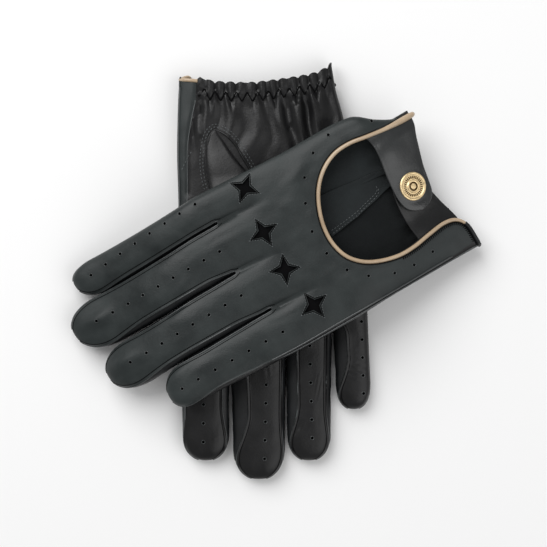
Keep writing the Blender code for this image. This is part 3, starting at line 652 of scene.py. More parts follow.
VENTS = {
    ("left", "back"): mm(row_of((-25.4, 113.8), (-24.7, 173.8), 7)
                         + row_of((1.5, 123.0), (0.6, 190.9), 8)
                         + row_of((26.7, 121.3), (27.9, 195.5), 9)
                         + row_of((54.1, 120.1), (50.4, 186.6), 8, 0.9)
                         + [(45.7, 19.3), (50.8, 42.7), (46.6, 54.2), (37.8, 64.4), (26.1, 70.6),
                            (11.8, 74.9), (-1.7, 74.0), (-14.3, 69.2), (-22.5, 61.1),
                            (-28.1, 48.5), (-29.7, 37.3), (-28.6, 25.3)]),
    ("right", "palm"): mm(row_of((27.2, 130.0), (27.6, 189.3), 7)
                          + row_of((-6.0, 130.0), (-4.6, 198.1), 8)
                          + row_of((-28.0, 129.0), (-29.6, 187.2), 7)
                          + row_of((-55.4, 126.0), (-56.6, 163.8), 5)),
}
VENTS["right", "back"] = sum((finger_vents("right", number, 0.121, top, count) for number, top, count
                              in ((0, 0.163, 5), (1, 0.188, 8), (2, 0.198, 9), (3, 0.188, 8))), [])
VENTS["right", "back"] += [(u - 1 * MM, v) for u, v in VENTS["left", "back"][-11:]
                           if u < 36 * MM and u > -40 * MM]
VENTS["left", "palm"] = sum((finger_vents("left", number, 0.124, top, count) for number, top, count
                             in ((0, 0.172, 6), (1, 0.194, 8), (2, 0.196, 8), (3, 0.186, 7))), [])

print("vent holes:", sum(len(holes) for holes in VENTS.values()))

# %% [markdown]
# ## Dies
# The keyhole, the stars and the round vent holes are punched out of each flat panel with steel
# dies before it is sewn. Each die here is a short prism through one side of the glove, and one
# boolean with all of them joined cuts a panel at once, so every hole keeps a real edge with the
# leather's own thickness. The panel is still flat at that moment, so the prisms stand upright.

# %% Outlines of the dies, and the cut
STAR_RAY = 7.0 * MM
STAR_WAIST = 2.7 * MM
STAR_TURNS = (10, -21, 2, 41)
DIE_REACH = (0.3 * MM, 9.5 * MM)


def star_points(centre, turn, ray, waist):
    """A star's outline: four rays with hollow flanks."""
    points = []
    for i in range(16):
        reach = (ray, mix(ray, waist, 0.66), waist, mix(ray, waist, 0.66))[i % 4]
        sweep = (0.0, 16.0, 45.0, 74.0)[i % 4]
        angle = math.radians(90 + turn + 90 * (i // 4) + sweep)
        points.append((centre[0] + reach * math.cos(angle), centre[1] + reach * math.sin(angle)))
    return points


def circle(centre, radius, count=12):
    return [(centre[0] + radius * math.cos(2 * math.pi * i / count),
             centre[1] + radius * math.sin(2 * math.pi * i / count)) for i in range(count)]


def pushed_keyhole(side, outwards):
    """The keyhole's edge, moved outwards."""
    pushed, edge = [], PATTERNS[side]["keyhole"]
    for i, point in enumerate(edge):
        before, after = Vector(edge[max(0, i - 1)]), Vector(edge[min(len(edge) - 1, i + 1)])
        run = (after - before).normalized()
        pushed.append((point[0] + run.y * outwards, point[1] - run.x * outwards))
    return pushed


def fine(points, steps=4):
    """A smooth curve through lay points, with more of them."""
    made = []
    for i in range(len(points) - 1):
        before, after = points[max(0, i - 1)], points[min(len(points) - 1, i + 2)]
        a, b = points[i], points[i + 1]
        for k in range(steps):
            t = k / steps
            made.append(tuple(0.5 * (2 * a[c] + (b[c] - before[c]) * t
                                     + (2 * before[c] - 5 * a[c] + 4 * b[c] - after[c]) * t * t
                                     + (3 * a[c] - before[c] - 3 * b[c] + after[c]) * t ** 3)
                              for c in range(len(a))))
    return made + [tuple(points[-1])]


def dies(side, part, outlines):
    """One cutter of all these outlines, through the panel's own side of the glove only."""
    vertices, faces = [], []
    low_and_high = sorted(placed(side, 0, 0, part_face(part) * h).z for h in DIE_REACH)
    for outline in outlines:
        first, count = len(vertices), len(outline)
        turns = sum(a[0] * b[1] - b[0] * a[1] for a, b in zip(outline, outline[1:] + outline[:1]))
        ordered = outline if turns > 0 else outline[::-1]
        for level in low_and_high:
            for u, v in ordered:
                point = placed(side, u, v, 0)
                vertices.append((point.x, point.y, level))
        bottom = tuple(range(first, first + count))
        top = tuple(range(first + count, first + 2 * count))
        faces += [bottom[::-1], top] + [
            (bottom[i], bottom[(i + 1) % count], top[(i + 1) % count], top[i]) for i in range(count)]
    cutter = new_piece(f"{side}_{part}_dies", vertices, faces, smooth_shaded=False)
    cutter.hide_render = True
    return cutter


def cut_out(panel, cutter):
    boolean = panel.modifiers.new("die cut", "BOOLEAN")
    boolean.operation = "DIFFERENCE"
    boolean.solver = "MANIFOLD"
    boolean.object = cutter
    return panel


print("a star is", round(2 * STAR_RAY / MM), "mm across")

# %% [markdown]
# ## Leather
# Three things make leather of a plain dark surface: a grain of tiny uneven cells, a colour that
# drifts a little from place to place, and a gloss that is broken where the skin is drier. Cells
# come from a Voronoi texture, the drift from two noises, and all of them are at the real size,
# about half a millimetre for the grain. The suede side gets fine fibres in place of grain.

# %% Materials


def node(tree, kind, **inputs):
    """A shader node with its inputs set by name."""
    made = tree.nodes.new(kind)
    for name, value in inputs.items():
        made.inputs[name.replace("_", " ")].default_value = value
    return made


def leather(name, dark, light, roughness, grain=0.16, sheen=0.0, gloss=0.5):
    """Leather whose colour drifts from dark to light, with grain, pores and fine creases."""
    material = bpy.data.materials.new(name)
    material.use_nodes = True
    tree = material.node_tree
    shader = tree.nodes["Principled BSDF"]
    shader.inputs["Specular IOR Level"].default_value = gloss
    shader.inputs["Sheen Weight"].default_value = sheen
    shader.inputs["Sheen Roughness"].default_value = 0.5
    place = tree.nodes.new("ShaderNodeTexCoord")
    drift = node(tree, "ShaderNodeTexNoise", Scale=55.0, Detail=4.0, Roughness=0.6)
    tint = tree.nodes.new("ShaderNodeValToRGB")
    tint.color_ramp.elements[0].position = 0.32
    tint.color_ramp.elements[0].color = (*dark, 1)
    tint.color_ramp.elements[1].position = 0.7
    tint.color_ramp.elements[1].color = (*light, 1)
    wear = node(tree, "ShaderNodeMapRange", From_Min=0.3, From_Max=0.7,
                To_Min=roughness - 0.06, To_Max=roughness + 0.07)
    cells = node(tree, "ShaderNodeTexVoronoi", Scale=1500.0, Randomness=1.0)
    cells.feature = "SMOOTH_F1"
    pores = node(tree, "ShaderNodeTexNoise", Scale=3200.0, Detail=3.0)
    creases = node(tree, "ShaderNodeTexNoise", Scale=330.0, Detail=5.0, Roughness=0.62)
    grain_bump = node(tree, "ShaderNodeBump", Strength=grain, Distance=0.00025)
    pore_bump = node(tree, "ShaderNodeBump", Strength=grain * 0.6, Distance=0.0001)
    crease_bump = node(tree, "ShaderNodeBump", Strength=grain * 1.3, Distance=0.0005)
    link = tree.links.new
    for texture in (drift, cells, pores, creases):
        link(place.outputs["Object"], texture.inputs["Vector"])
    link(drift.outputs["Fac"], tint.inputs["Fac"])
    link(tint.outputs["Color"], shader.inputs["Base Color"])
    link(drift.outputs["Fac"], wear.inputs["Value"])
    link(wear.outputs["Result"], shader.inputs["Roughness"])
    link(creases.outputs["Fac"], crease_bump.inputs["Height"])
    link(cells.outputs["Distance"], grain_bump.inputs["Height"])
    link(pores.outputs["Fac"], pore_bump.inputs["Height"])
    link(crease_bump.outputs["Normal"], grain_bump.inputs["Normal"])
    link(grain_bump.outputs["Normal"], pore_bump.inputs["Normal"])
    link(pore_bump.outputs["Normal"], shader.inputs["Normal"])
    return material


def coloured(piece, material):
    """Gives a piece this one material."""
    piece.data.materials.clear()
    piece.data.materials.append(material)
    return piece


BACK_LEATHER = leather("green-grey nappa", (0.0100, 0.0135, 0.0138), (0.0225, 0.0285, 0.0285),
                       0.44, gloss=0.34)
PALM_LEATHER = leather("black nappa", (0.003, 0.003, 0.0034), (0.0065, 0.0065, 0.007), 0.36, gloss=0.36)
STRAP_LEATHER = leather("strap nappa", (0.005, 0.006, 0.0065), (0.010, 0.012, 0.0125), 0.3, gloss=0.75)
TAB_LEATHER = leather("tab nappa", (0.003, 0.0032, 0.0035), (0.006, 0.0065, 0.007), 0.34, gloss=0.45)
# Near-black leather for the fourchettes and the keyhole's facing, and painted shade on the piping's end.
GUSSET_AND_SHADE_LEATHER = leather("gusset nappa and painted shade", (0.003, 0.0035, 0.004), (0.006, 0.007, 0.008), 0.4, gloss=0.35)
# Matte black for the star backing and black thread, and painted shade in the seam creases and star grooves.
BLACK_AND_PAINTED_SHADE = leather("black backing, thread and painted shade", (0.0015, 0.0015, 0.0017), (0.003, 0.003, 0.0034),
                     0.9, 0.2, gloss=0.08)
TONGUE_SUEDE = leather("suede of the thumb", (0.010, 0.012, 0.013), (0.018, 0.022, 0.023),
                       0.85, 0.3, 0.1, 0.2)
# A lighter copy of the panel leather for the seam ridges and vent rims: a painted highlight.
SEAM_HIGHLIGHT_LEATHER = leather("nappa lightened for painted highlights", (0.018, 0.022, 0.023), (0.032, 0.037, 0.038),
                       0.36, gloss=0.8)
SUEDE = leather("suede lining side", (0.004, 0.005, 0.0055), (0.009, 0.0105, 0.011),
                0.9, 0.3, 0.08, 0.15)
TAN_PIPING = leather("tan piping", (0.36, 0.26, 0.165), (0.50, 0.375, 0.245), 0.32, 0.1, gloss=0.9)
THREAD = leather("waxed thread", (0.070, 0.077, 0.080), (0.105, 0.115, 0.118), 0.5, 0.2)
print("leathers and thread mixed")

# %% [markdown]
# ## Back and palm
# With the dies ready, each panel is made in the same order as on the bench: skin, thickness, die
# cuts, then the lay on the table. The palm also gets the arched hole that the thumb is sewn into.
# Each panel stands for its plain CAD solid, which stays hidden for the physics.

# %% Make the four panels
KEYHOLE_EDGE = 1.85 * MM
ARCH_TIP = -20.9 * MM
ARCH_END = 18.5 * MM
ARCH_SEAM = 0.6 * MM
ARCH_NEAR = mm([(-21.5, 7.6), (-20.6, 9.2), (-18.7, 10.8), (-12, 13.3), (-1.3, 15.0), (8, 14.4),
                (18.5, 11)])
ARCH_FAR = mm([(-21.5, 7.2), (-20.9, 5.6), (-19.5, 3.8), (-15, -0.7), (-4.7, -5.2), (1.9, -7.9),
               (10, -10.2), (18.5, -11)])


def thumb_point(side, across, forward, out):
    """Lay point from the thumb's own measures. Out is the distance from the palm's face."""
    glove = PATTERNS[side]
    heading = math.radians(glove["thumb_heading"])
    run_u, run_v = math.cos(heading), math.sin(heading)
    across = across if side == "right" else -across
    return (glove["thumb_at"][0] + across * run_v + forward * run_u,
            glove["thumb_at"][1] - across * run_u + forward * run_v,
            -(HAND_HALF_HEIGHT + 0.1 * MM) - out)


def thumb_hole(side):
    """Lay points round the arched hole that the thumb is sewn into."""
    stations = [mix(ARCH_TIP, 15 * MM, k / 16) for k in range(17)]
    rim = [(along(ARCH_NEAR, forward) - ARCH_SEAM, forward) for forward in stations]
    rim += [(along(ARCH_FAR, forward) + ARCH_SEAM, forward) for forward in stations[::-1]]
    return [thumb_point(side, across, forward, 0)[:2] for across, forward in rim]


def panel_dies(side, part):
    outlines = [circle(vent, VENT_RADIUS) for vent in VENTS[side, part]]
    if part == "palm":
        return outlines + [thumb_hole(side)]
    for centre, turn in zip(STARS[side], STAR_TURNS):
        outlines.append(star_points(centre, turn, STAR_RAY, STAR_WAIST))
    edge = fine(pushed_keyhole(side, KEYHOLE_EDGE))
    return outlines + [[(edge[0][0] + 2 * MM, -20 * MM)] + edge
                       + [(-60 * MM, edge[-1][1]), (-60 * MM, -20 * MM)]]


for side in PATTERNS:
    for part in ("back", "palm"):
        panel = thicken(panel_mesh(side, part), LEATHER)
        cutter = dies(side, part, panel_dies(side, part))
        finished(cut_out(panel, cutter), bend=PATTERNS[side]["droops"])
        bpy.data.objects.remove(cutter)
        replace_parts(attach(panel, side + "_glove"), f"{side}_{part}_panel")
        print(panel.name, len(panel.data.polygons), "faces")

# %% [markdown]
# ## Finding the leather's surface
# Seams, stitches and rims have to lie exactly on the leather. So the same formulas that shaped the
# panels are asked again for any point: on a finger by its section, and on the hand by the column
# of the skin that passes there.

# %% A point on a glove's face


def skin(side, part, u, v, lift=0.0):
    """The lay point on a glove's face at (u, v), on the hand or on a finger."""
    roots = PATTERNS[side]["roots"]
    left, right = side_limits(side, v)
    share = min(0.996, max(0.004, (u - left) / (right - left)))
    root_u = mix(roots[0][0], roots[-1][0], share)
    number = max(k for k in range(4) if roots[k][0] <= root_u)
    line = root_line(side, root_u)
    if v > line:
        number = min(range(4), key=lambda k: abs(u - finger_at(side, k, v)[0]))
        middle, half, _, _ = finger_at(side, number, v)
        part_way = min(0.995, abs(u - middle) / half)
        angle = math.acos(math.copysign(part_way ** (FINGER_SQUARENESS / 2), u - middle))
        return finger_skin(side, number, part, v, angle, lift)
    root_v = (roots[number][1] + roots[number + 1][1]) / 2
    middle, half, _, _ = finger_at(side, number, root_v)
    part_way = min(0.98, abs(root_u - middle) / half)
    angle = math.acos(math.copysign(part_way ** (FINGER_SQUARENESS / 2), root_u - middle))
    root_h = finger_skin(side, number, part, root_v, angle)[2]
    return hand_skin(side, part, (root_u, line, root_h), v / line, 0.0, lift)


def on_face(side, part, line, lift=0.0, steps=4):
    """A smooth path on a glove's face through (u, v) points."""
    return [laid(side, *skin(side, part, u, v, lift)) for u, v in fine(line, steps)]


print("the left back is", round(skin("left", "back", 0, 0.08)[2] / MM, 1), "mm over the glove's middle")

# %% [markdown]
# ## Cords, edges and stitches
# Gloves are held together by lines: rolled seams, a welt of piping, and rows of thread. Each is a
# round cord along a path on the leather, so one way of making cords serves them all. A stitch is
# the same cord cut short and slimmed at its ends, as thread is where it dips into the leather.

# %% Cords and stitches
STITCH = 1.3 * MM


def cords(name, paths, radius, sides=8):
    """Round cords along paths. The radius may be a function of the share of the way."""
    vertices, faces = [], []
    for path in paths:
        count, first, across = len(path), len(vertices), None
        for i, point in enumerate(path):
            run = (path[min(count - 1, i + 1)] - path[max(0, i - 1)]).normalized()
            across = run.orthogonal() if across is None else across - run * across.dot(run)
            across = across.normalized()
            up = run.cross(across)
            size = radius(i / (count - 1)) if callable(radius) else radius
            for k in range(sides):
                angle = 2 * math.pi * k / sides
                vertices.append(point + size * (across * math.cos(angle) + up * math.sin(angle)))
        for i in range(count - 1):
            for k in range(sides):
                a, b = first + i * sides + k, first + i * sides + (k + 1) % sides
                faces.append((a, b, b + sides, a + sides))
        ring = tuple(range(first, first + sides))
        faces += [ring[::-1], tuple(k + (count - 1) * sides for k in ring)]
    return new_piece(name, vertices, faces)


def strokes(path, length=STITCH, gap=0.8 * MM, turn=0.0):
    """Short strokes of thread along a path, or across it when turned."""
    made, travelled, wanted = [], 0.0, gap
    for a, b in zip(path, path[1:]):
        far = (b - a).length
        while far > 0 and wanted <= travelled + far:
            spot = a.lerp(b, (wanted - travelled) / far)
            run = Matrix.Rotation(turn, 3, "Z") @ ((b - a) / far)
            made.append([spot - run * length * 0.5, spot, spot + run * length * 0.5])
            wanted += length + gap if not turn else gap
        travelled += far
    return made


def thread(name, paths, radius=0.24 * MM):
    """Strokes of thread as one piece, thinner at both ends of each."""
    piece = cords(name, paths, lambda t: radius * (0.45 + 0.55 * math.sin(math.pi * t)), 6)
    return coloured(piece, THREAD)


def grid_faces(columns, rows, first=0, turned=False):
    """The quads of a grid whose vertices were added row by row from the first one."""
    faces = []
    for row in range(rows):
        for i in range(columns):
            a = first + row * (columns + 1) + i
            quad = (a, a + 1, a + columns + 2, a + columns + 1)
            faces.append(quad[::-1] if turned else quad)
    return faces


def joined(name, pieces):
    """Several meshes as one, with all their materials."""
    for other in bpy.context.selected_objects:
        other.select_set(False)
    for piece in pieces:
        piece.select_set(True)
    bpy.context.view_layer.objects.active = pieces[0]
    bpy.ops.object.join()
    pieces[0].name = name
    return pieces[0]


print("a stitch is", round(STITCH / MM, 1), "mm long")

# %% [markdown]
# ## Fourchettes
# A fourchette is the forked strip between two fingers: down one finger's side, round the cleft and
# up the next. It is sewn to the back and to the palm. Each is a narrow grid that spans the side
# walls of two fingers, with a web across the cleft, and it sags a little where nothing fills it.

# %% Fourchettes


def wall_row(side, number, thumb_side, v, columns=8):
    """Lay points across a finger's side wall, from the back seam to the palm seam."""
    middle, half, height, level = finger_at(side, number, v)
    upper = seam_angle(inset_at(side, number, "back", thumb_side, v), max(half, 0.3 * MM))
    lower = seam_angle(inset_at(side, number, "palm", thumb_side, v), max(half, 0.3 * MM))
    row = []
    for i in range(columns + 1):
        angle = mix(upper, -lower, i / columns)
        across, up = rounded(half, height, FINGER_SQUARENESS, angle)
        sag = 0.35 * MM * math.sin(math.pi * i / columns) * (1 + noise.noise((v * 130, number, i * 0.4)))
        across += math.copysign(min(sag, half * 0.3), across)
        row.append((middle + (across if thumb_side else -across), v, level + up))
    return row


def make_fourchette(side, number):
    """The strip from a finger's thumb side, round the cleft, to the next finger's little side."""
    cleft_u, cleft_v = PATTERNS[side]["roots"][number + 1]

    def wall(finger, thumb_side):
        _, _, tip_v, tip_length = PATTERNS[side]["fingers"][finger]
        end = tip_v - 0.55 * tip_length
        stations = [mix(cleft_v + 0.6 * MM, end, k / 34) for k in range(35)]
        return [wall_row(side, finger, thumb_side, v) for v in stations]

    going, coming = wall(number, True), wall(number + 1, False)
    web = [(cleft_u, cleft_v - 0.5 * MM, (a[2] + b[2]) / 2 * 0.8) for a, b in zip(going[0], coming[0])]
    rows = going[::-1] + [web] + coming
    faces = grid_faces(len(web) - 1, len(rows) - 1, turned=PATTERNS[side]["back_up"])
    node_name = f"{side}_fourchette_{FINGER_NAMES[number]}_{FINGER_NAMES[number + 1]}"
    strip = new_piece(node_name + "_leather", [laid(side, *p) for row in rows for p in row], faces)
    coloured(strip, GUSSET_AND_SHADE_LEATHER)
    strip.data.materials.append(SUEDE)
    finished(thicken(strip, 0.7 * MM))
    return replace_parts(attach(strip, side + "_glove"), node_name)


for side in PATTERNS:
    for number in range(3):
        make_fourchette(side, number)
print("fourchettes: 6")

# %% [markdown]
# ## Rolled seams
# Panels are sewn right sides together and turned, so every seam stands up as a thin rolled ridge with
# a crease beside it. Ridge and crease are cords laid along the panels' edges: the ridge is in lighter
# leather, a painted highlight, and the crease is black, painted shade. The zigzag that holds the
# elastic is a cord too, because it is narrower than the mesh of the palm could carry.

# %% Rolled seams along the fingers and the hand's sides


def seam_point(side, number, part, thumb_side, v, inward):
    """A point on a finger's seam, or beside it on the panel."""
    angle = panel_span(side, number, part, v)[1 if thumb_side else 0]
    half = max(finger_at(side, number, v)[1], 0.6 * MM)
    if inward:
        inset = inset_at(side, number, part, thumb_side, v) + min(inward, 0.4 * half)
        angle = seam_angle(inset, half) if thumb_side else math.pi - seam_angle(inset, half)
    return laid(side, *finger_skin(side, number, part, v, angle, -0.02 * MM if inward else 0.1 * MM))


def finger_seam(side, number, part, thumb_side, count=46, inward=0.0):
    """From the finger's root to its tip."""
    roots = PATTERNS[side]["roots"]
    cleft = roots[number + 1] if thumb_side else roots[number]
    tip_v = PATTERNS[side]["fingers"][number][2] - 0.5 * MM
    start = cleft[1] + 1.5 * MM
    stations = [mix(start, tip_v, math.sin(math.pi / 2 * k / count)) for k in range(count + 1)]
    return [seam_point(side, number, part, thumb_side, v, inward) for v in stations]


def hand_seam(side, number, part, thumb_side):
    """From the cuff to the root, down the glove's outer side."""
    roots = PATTERNS[side]["roots"]
    root_v = (roots[number][1] + roots[number + 1][1]) / 2
    angle = panel_span(side, number, part, root_v)[1 if thumb_side else 0]
    u, _, h = finger_skin(side, number, part, root_v, angle)
    root = (u, root_line(side, u), h)
    return [laid(side, *hand_skin(side, part, root, t / 60, 3 * MM, 0.1 * MM)) for t in range(61)]


def round_clefts(side, part, inward, turn_points, lift):
    """Paths up one finger's seam, round the cleft and up the next, for all three clefts."""
    paths = []
    for number in range(3):
        cleft_u, cleft_v = PATTERNS[side]["roots"][number + 1]
        one = finger_seam(side, number, part, True, inward=inward)
        two = finger_seam(side, number + 1, part, False, inward=inward)
        turn = [laid(side, *skin(side, part, cleft_u + across * MM, cleft_v - back * MM, lift))
                for across, back in turn_points]
        paths.append(one[::-1] + turn + two)
    return paths


def cuff_zigzag(side):
    """The path of the zigzag stitch across the palm's cuff."""
    little, thumb = side_limits(side, 6 * MM)
    end = along(STRIP_SEAM, 6 * MM) - 1 * MM if side == "right" else thumb - 3 * MM
    path = []
    for k in range(161):
        u = mix(little + 3 * MM, end, k / 160)
        middle = along(PATTERNS[side]["hem"], u) + GATHER_LINE
        v = middle + ZIGZAG_SWING * zigzag(gather_phase(side, u, middle))
        path.append(laid(side, *skin(side, "palm", u, v, 0.2 * MM)))
    return path


for side in PATTERNS:
    ridges = []
    clefts = {part: round_clefts(side, part, 0.0, ((-0.9, 0.3), (0.0, 1.1), (0.9, 0.3)), 0.1 * MM)
              for part in ("back", "palm")}
    for number in range(3):
        ridges += [clefts["back"][number], clefts["palm"][number]]
    ridges.append(hand_seam(side, 0, "back", False) + finger_seam(side, 0, "back", False))
    ridges.append(hand_seam(side, 3, "palm", True) + finger_seam(side, 3, "palm", True))
    strip = [(u, v) for v, u in (STRIP_SEAM[1:-1] if side == "right" else LITTLE_SEAM[1:-1])]
    ridges.append(on_face(side, "palm" if side == "right" else "back", strip, 0.15 * MM, 12))
    # Black cords in the creases beside the ridges: painted shade.
    creases = round_clefts(side, "back" if side == "left" else "palm", 1.25 * MM,
                           ((-1.9, 0.4), (-1.2, 2.1), (0.0, 2.8), (1.2, 2.1), (1.9, 0.4)), -0.02 * MM)
    crease_shade = coloured(cords(side + "_creases", creases, 0.22 * MM, 6), BLACK_AND_PAINTED_SHADE)
    zigzagged = coloured(cords(side + "_cuff_stitch", [cuff_zigzag(side)], 0.4 * MM, 6), BLACK_AND_PAINTED_SHADE)
    # The ridges are in the lighter seam leather: a painted highlight.
    ridged = coloured(cords(side + "_ridges", ridges, 0.42 * MM), SEAM_HIGHLIGHT_LEATHER)
    seams = joined(side + "_finger_seams", [ridged, crease_shade, zigzagged])
    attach(seams, side + "_glove")
    print(seams.name, len(ridges), "ridges")

# %% [markdown]
# ## Stars
# Four stars are cut over the knuckles and backed by one dark strip. A pressed line and a fine row
# of thread run round each, a little outside the edge, to hold the strip. Line and thread are cords
# on the surface, since a star's edge in the panel is too sharp to carry them. The line's cord is
# black: painted shade of the pressed groove.

# %% Star backing and its stitches


def sheet_on(side, part, u_range, v_range, lift, counts, faces_up=True):
    """A rectangle of leather that follows a glove's face at a depth."""
    columns, rows = counts
    vertices = []
    for row in range(rows + 1):
        v = mix(*v_range, row / rows)
        for i in range(columns + 1):
            u = mix(*u_range, i / columns)
            vertices.append(laid(side, *skin(side, part, u, v, lift)))
    flip = (part == "palm") == PATTERNS[side]["back_up"]
    return vertices, grid_faces(columns, rows, turned=flip == faces_up)


for side in PATTERNS:
    shift = STARS[side][0][0] - STARS["left"][0][0]
    vertices, faces = sheet_on(side, "back", (-30 * MM + shift, 55 * MM + shift), (85 * MM, 105 * MM),
                               -LEATHER - 0.5 * MM, (60, 16))
    backing = coloured(new_piece(side + "_star_backing", vertices, faces), BLACK_AND_PAINTED_SHADE)
    backing.data.materials.append(SUEDE)
    finished(thicken(backing, 0.5 * MM))
    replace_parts(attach(backing, side + "_glove"), side + "_star_underlay")
    rows, groove_shade = [], []
    for centre, turn in zip(STARS[side], STAR_TURNS):
        # The inner ring is a black cord: painted shade of the pressed groove.
        for grow, widen, lines in ((0.9 * MM, 0.7 * MM, groove_shade), (1.7 * MM, 1.3 * MM, rows)):
            outline = star_points(centre, turn, STAR_RAY + grow, STAR_WAIST + widen)
            outline = [(mix(a[0], b[0], k / 4), mix(a[1], b[1], k / 4))
                       for a, b in zip(outline, outline[1:] + outline[:1]) for k in range(4)]
            ring = [laid(side, *skin(side, "back", u, v, 0.02 * MM)) for u, v in outline + outline[:1]]
            lines += [ring] if lines is groove_shade else strokes(ring, 1.0 * MM, 0.4 * MM)
    stitched = joined(side + "_star_stitches",
                      [thread(side + "_star_thread", rows, 0.2 * MM),
                       coloured(cords(side + "_star_groove_shade", groove_shade, 0.24 * MM, 6), BLACK_AND_PAINTED_SHADE)])
    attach(stitched, side + "_glove")
    print(stitched.name, len(rows), "stitches")

# %% [markdown]
# ## Piping
# The keyhole and the wrist edge are bound with tan leather rolled over a cord. Binding is folded
# round the edge, so there is also a flat dark facing under it that holds the roll to the back.
# On the left glove the roll swells before the cuff's thumb corner, where several layers meet, and
# thins out at the corner itself. Past the lobe on the little side the binding turns down the glove's
# side, and there its roll is near-black leather: painted shade of the tan roll seen edge-on.

# %% Piping and facing


def piping_path(side):
    """Lay points (u, v, h) from the palm side of the thumb corner, round the keyhole."""
    limit = side_limits(side, -2 * MM)[1]
    corner = [skin(side, "palm", limit * share, v * MM, 0.1 * MM)
              for share, v in ((0.76, -0.2), (0.85, -0.5), (0.93, -0.8))]
    corner = (corner if side == "right" else []) + [(limit * 0.985, -1.2 * MM, 0.0)]
    edge = [skin(side, "back", u, v, -0.75 * MM) for u, v in PATTERNS[side]["keyhole"]]
    far = side_limits(side, 1 * MM)[0]
    tail = [(far * 0.975, 1.6 * MM, 1.5 * MM), (far * 0.99, 1.6 * MM, -0.6 * MM)]
    return fine(corner + edge + tail, 8)


def piping_width(side):
    """The roll's radius by its share of the way. It swells before the thumb corner and tapers there."""
    def width(t):
        t -= 0.0 if side == "left" else 0.065
        taper = 0.65 * (1 - smooth(t / 0.05)) if side == "left" else 0.1
        swell = 0.6 * hump(t - 0.085, 0.045) if side == "left" else 0.0
        return (1.05 + swell - taper - 0.25 * smooth((t - 0.93) / 0.06)) * MM
    return width


def keyhole_facing(side):
    """The dark leather that is folded under the keyhole's edge."""
    folds = ((4.2, 0.95), (2.4, 1.0), (0.6, 1.5), (-0.7, 2.3), (-1.1, 3.1))
    vertices = []
    for outer, drop in folds:
        line = fine(pushed_keyhole(side, outer * MM))
        line.append((2.5 * line[-1][0] - 1.5 * line[-2][0], 2.5 * line[-1][1] - 1.5 * line[-2][1]))
        vertices += [laid(side, *skin(side, "back", u, v, -drop * MM)) for u, v in line]
    faces = grid_faces(len(line) - 1, len(folds) - 1, turned=not PATTERNS[side]["back_up"])
    facing = coloured(new_piece(side + "_facing", vertices, faces), GUSSET_AND_SHADE_LEATHER)
    facing.data.materials.append(SUEDE)
    return finished(thicken(facing, 0.45 * MM))


def whip_stitches(side):
    """Slanted black stitches beside the piping, along the lobe on the little side."""
    edge = fine(pushed_keyhole(side, 2.1 * MM))
    lobe = [(u, v) for u, v in edge if u < -10 * MM and v < 44 * MM]
    path = [laid(side, *skin(side, "back", u, v, 0.05 * MM)) for u, v in lobe]
    slanted = strokes(path, 1.5 * MM, 1.15 * MM, math.radians(68))
    return coloured(thread(side + "_whip_stitches", slanted, 0.34 * MM), BLACK_AND_PAINTED_SHADE)


# The last points of each roll, down the glove's side, are near-black: painted shade of the tan roll.
SHADED_END_POINTS = {"left": 25, "right": 4}
for side in PATTERNS:
    path = [laid(side, *point) for point in piping_path(side)]
    tan_end = len(path) - SHADED_END_POINTS[side]
    roll = coloured(cords(side + "_piping_roll", [path[:tan_end]], piping_width(side), 14), TAN_PIPING)
    shaded_end = coloured(cords(side + "_piping_end", [path[tan_end - 2:]], 1.1 * MM, 12), GUSSET_AND_SHADE_LEATHER)
    binding = joined(side + "_binding", [roll, shaded_end, keyhole_facing(side), whip_stitches(side)])
    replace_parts(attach(binding, side + "_glove"), side + "_piping")
    print(binding.name, round(sum((b - a).length for a, b in zip(path, path[1:])) / MM), "mm of piping")

# %% [markdown]
# ## Thumbs
# The thumb is a tube sewn over a hole in the palm. Its seam is an arch, which the next cell makes,
# and the empty tube lies pressed flat. Towards the little finger the flat leather folds over
# and leaves a dark slit beside the seam. The tube turns at the arch, so its root stays with the
# palm and bends.

# %% Thumb stalls
THUMB_LENGTH = 68 * MM
THUMB_HALF_WIDTH = 11 * MM
THUMB_THICKNESS = 6.2 * MM
THUMB_MOUTH_END = 15.5 * MM
THUMB_TIP = 13 * MM
THUMB_START = -21.4 * MM
SLIT = mm([(-21.5, 7.2), (-19.3, 6.5), (-15.7, 4.6), (-7.2, 0.5), (1.4, -4.8), (9, -9.6), (15, -13)])


def thumb_section(forward):
    """Near and far side of the thumb, and its thickness, at a distance along it."""
    over = max(0.0, forward - (THUMB_LENGTH - THUMB_TIP)) / THUMB_TIP
    shrink = max(0.0, 1 - over ** 2.2) ** 0.5
    near = along(ARCH_NEAR, forward) if forward < ARCH_END else THUMB_HALF_WIDTH * shrink
    far = along(ARCH_FAR, forward) if forward < ARCH_END else -THUMB_HALF_WIDTH * shrink
    thick = THUMB_THICKNESS * smooth((forward + 27 * MM) / (43 * MM)) * mix(0.4, 1, shrink)
    return near, far, thick * (shrink if over > 0.6 else 1)


def thumb_row(side, forward, inner, columns):
    """Points across the thumb's outer or inner half. A slit opens in its root."""
    near, far, thick = thumb_section(forward)
    middle, half = (near + far) / 2, (near - far) / 2
    row = []
    for i in range(columns + 1):
        angle = math.pi * i / columns
        across, up = rounded(half, 1.0, 2.4, angle)
        x = middle + across
        lift = 0.62 * up * thick
        if forward < ARCH_END:
            lift = up * thick * mix(0.8, 0.62, smooth((forward + 18 * MM) / (36 * MM)))
        if inner:
            lift = -up * thick * 0.38
        elif forward < ARCH_END:
            closed = smooth((x - along(SLIT, forward)) / (0.9 * MM) + 0.5)
            lift *= mix(mix(0.12, 1, smooth((forward - 6 * MM) / (12 * MM))), 1, closed)
        base = 0.38 * thick * smooth((forward - 2 * MM) / (THUMB_MOUTH_END - 2 * MM))
        soft = 0.35 * MM * noise.noise((x * 90, forward * 70, 3.0 if inner else 8.0)) * up
        row.append(laid(side, *thumb_point(side, x, forward, base + lift + soft)))
    return row


def thumb_half(side, stations, inner, columns=40):
    """Vertices and faces of the thumb's outer or inner half."""
    vertices = []
    for forward in stations:
        vertices += thumb_row(side, forward, inner, columns)
    return vertices, grid_faces(columns, len(stations) - 1, turned=inner != (side == "right"))


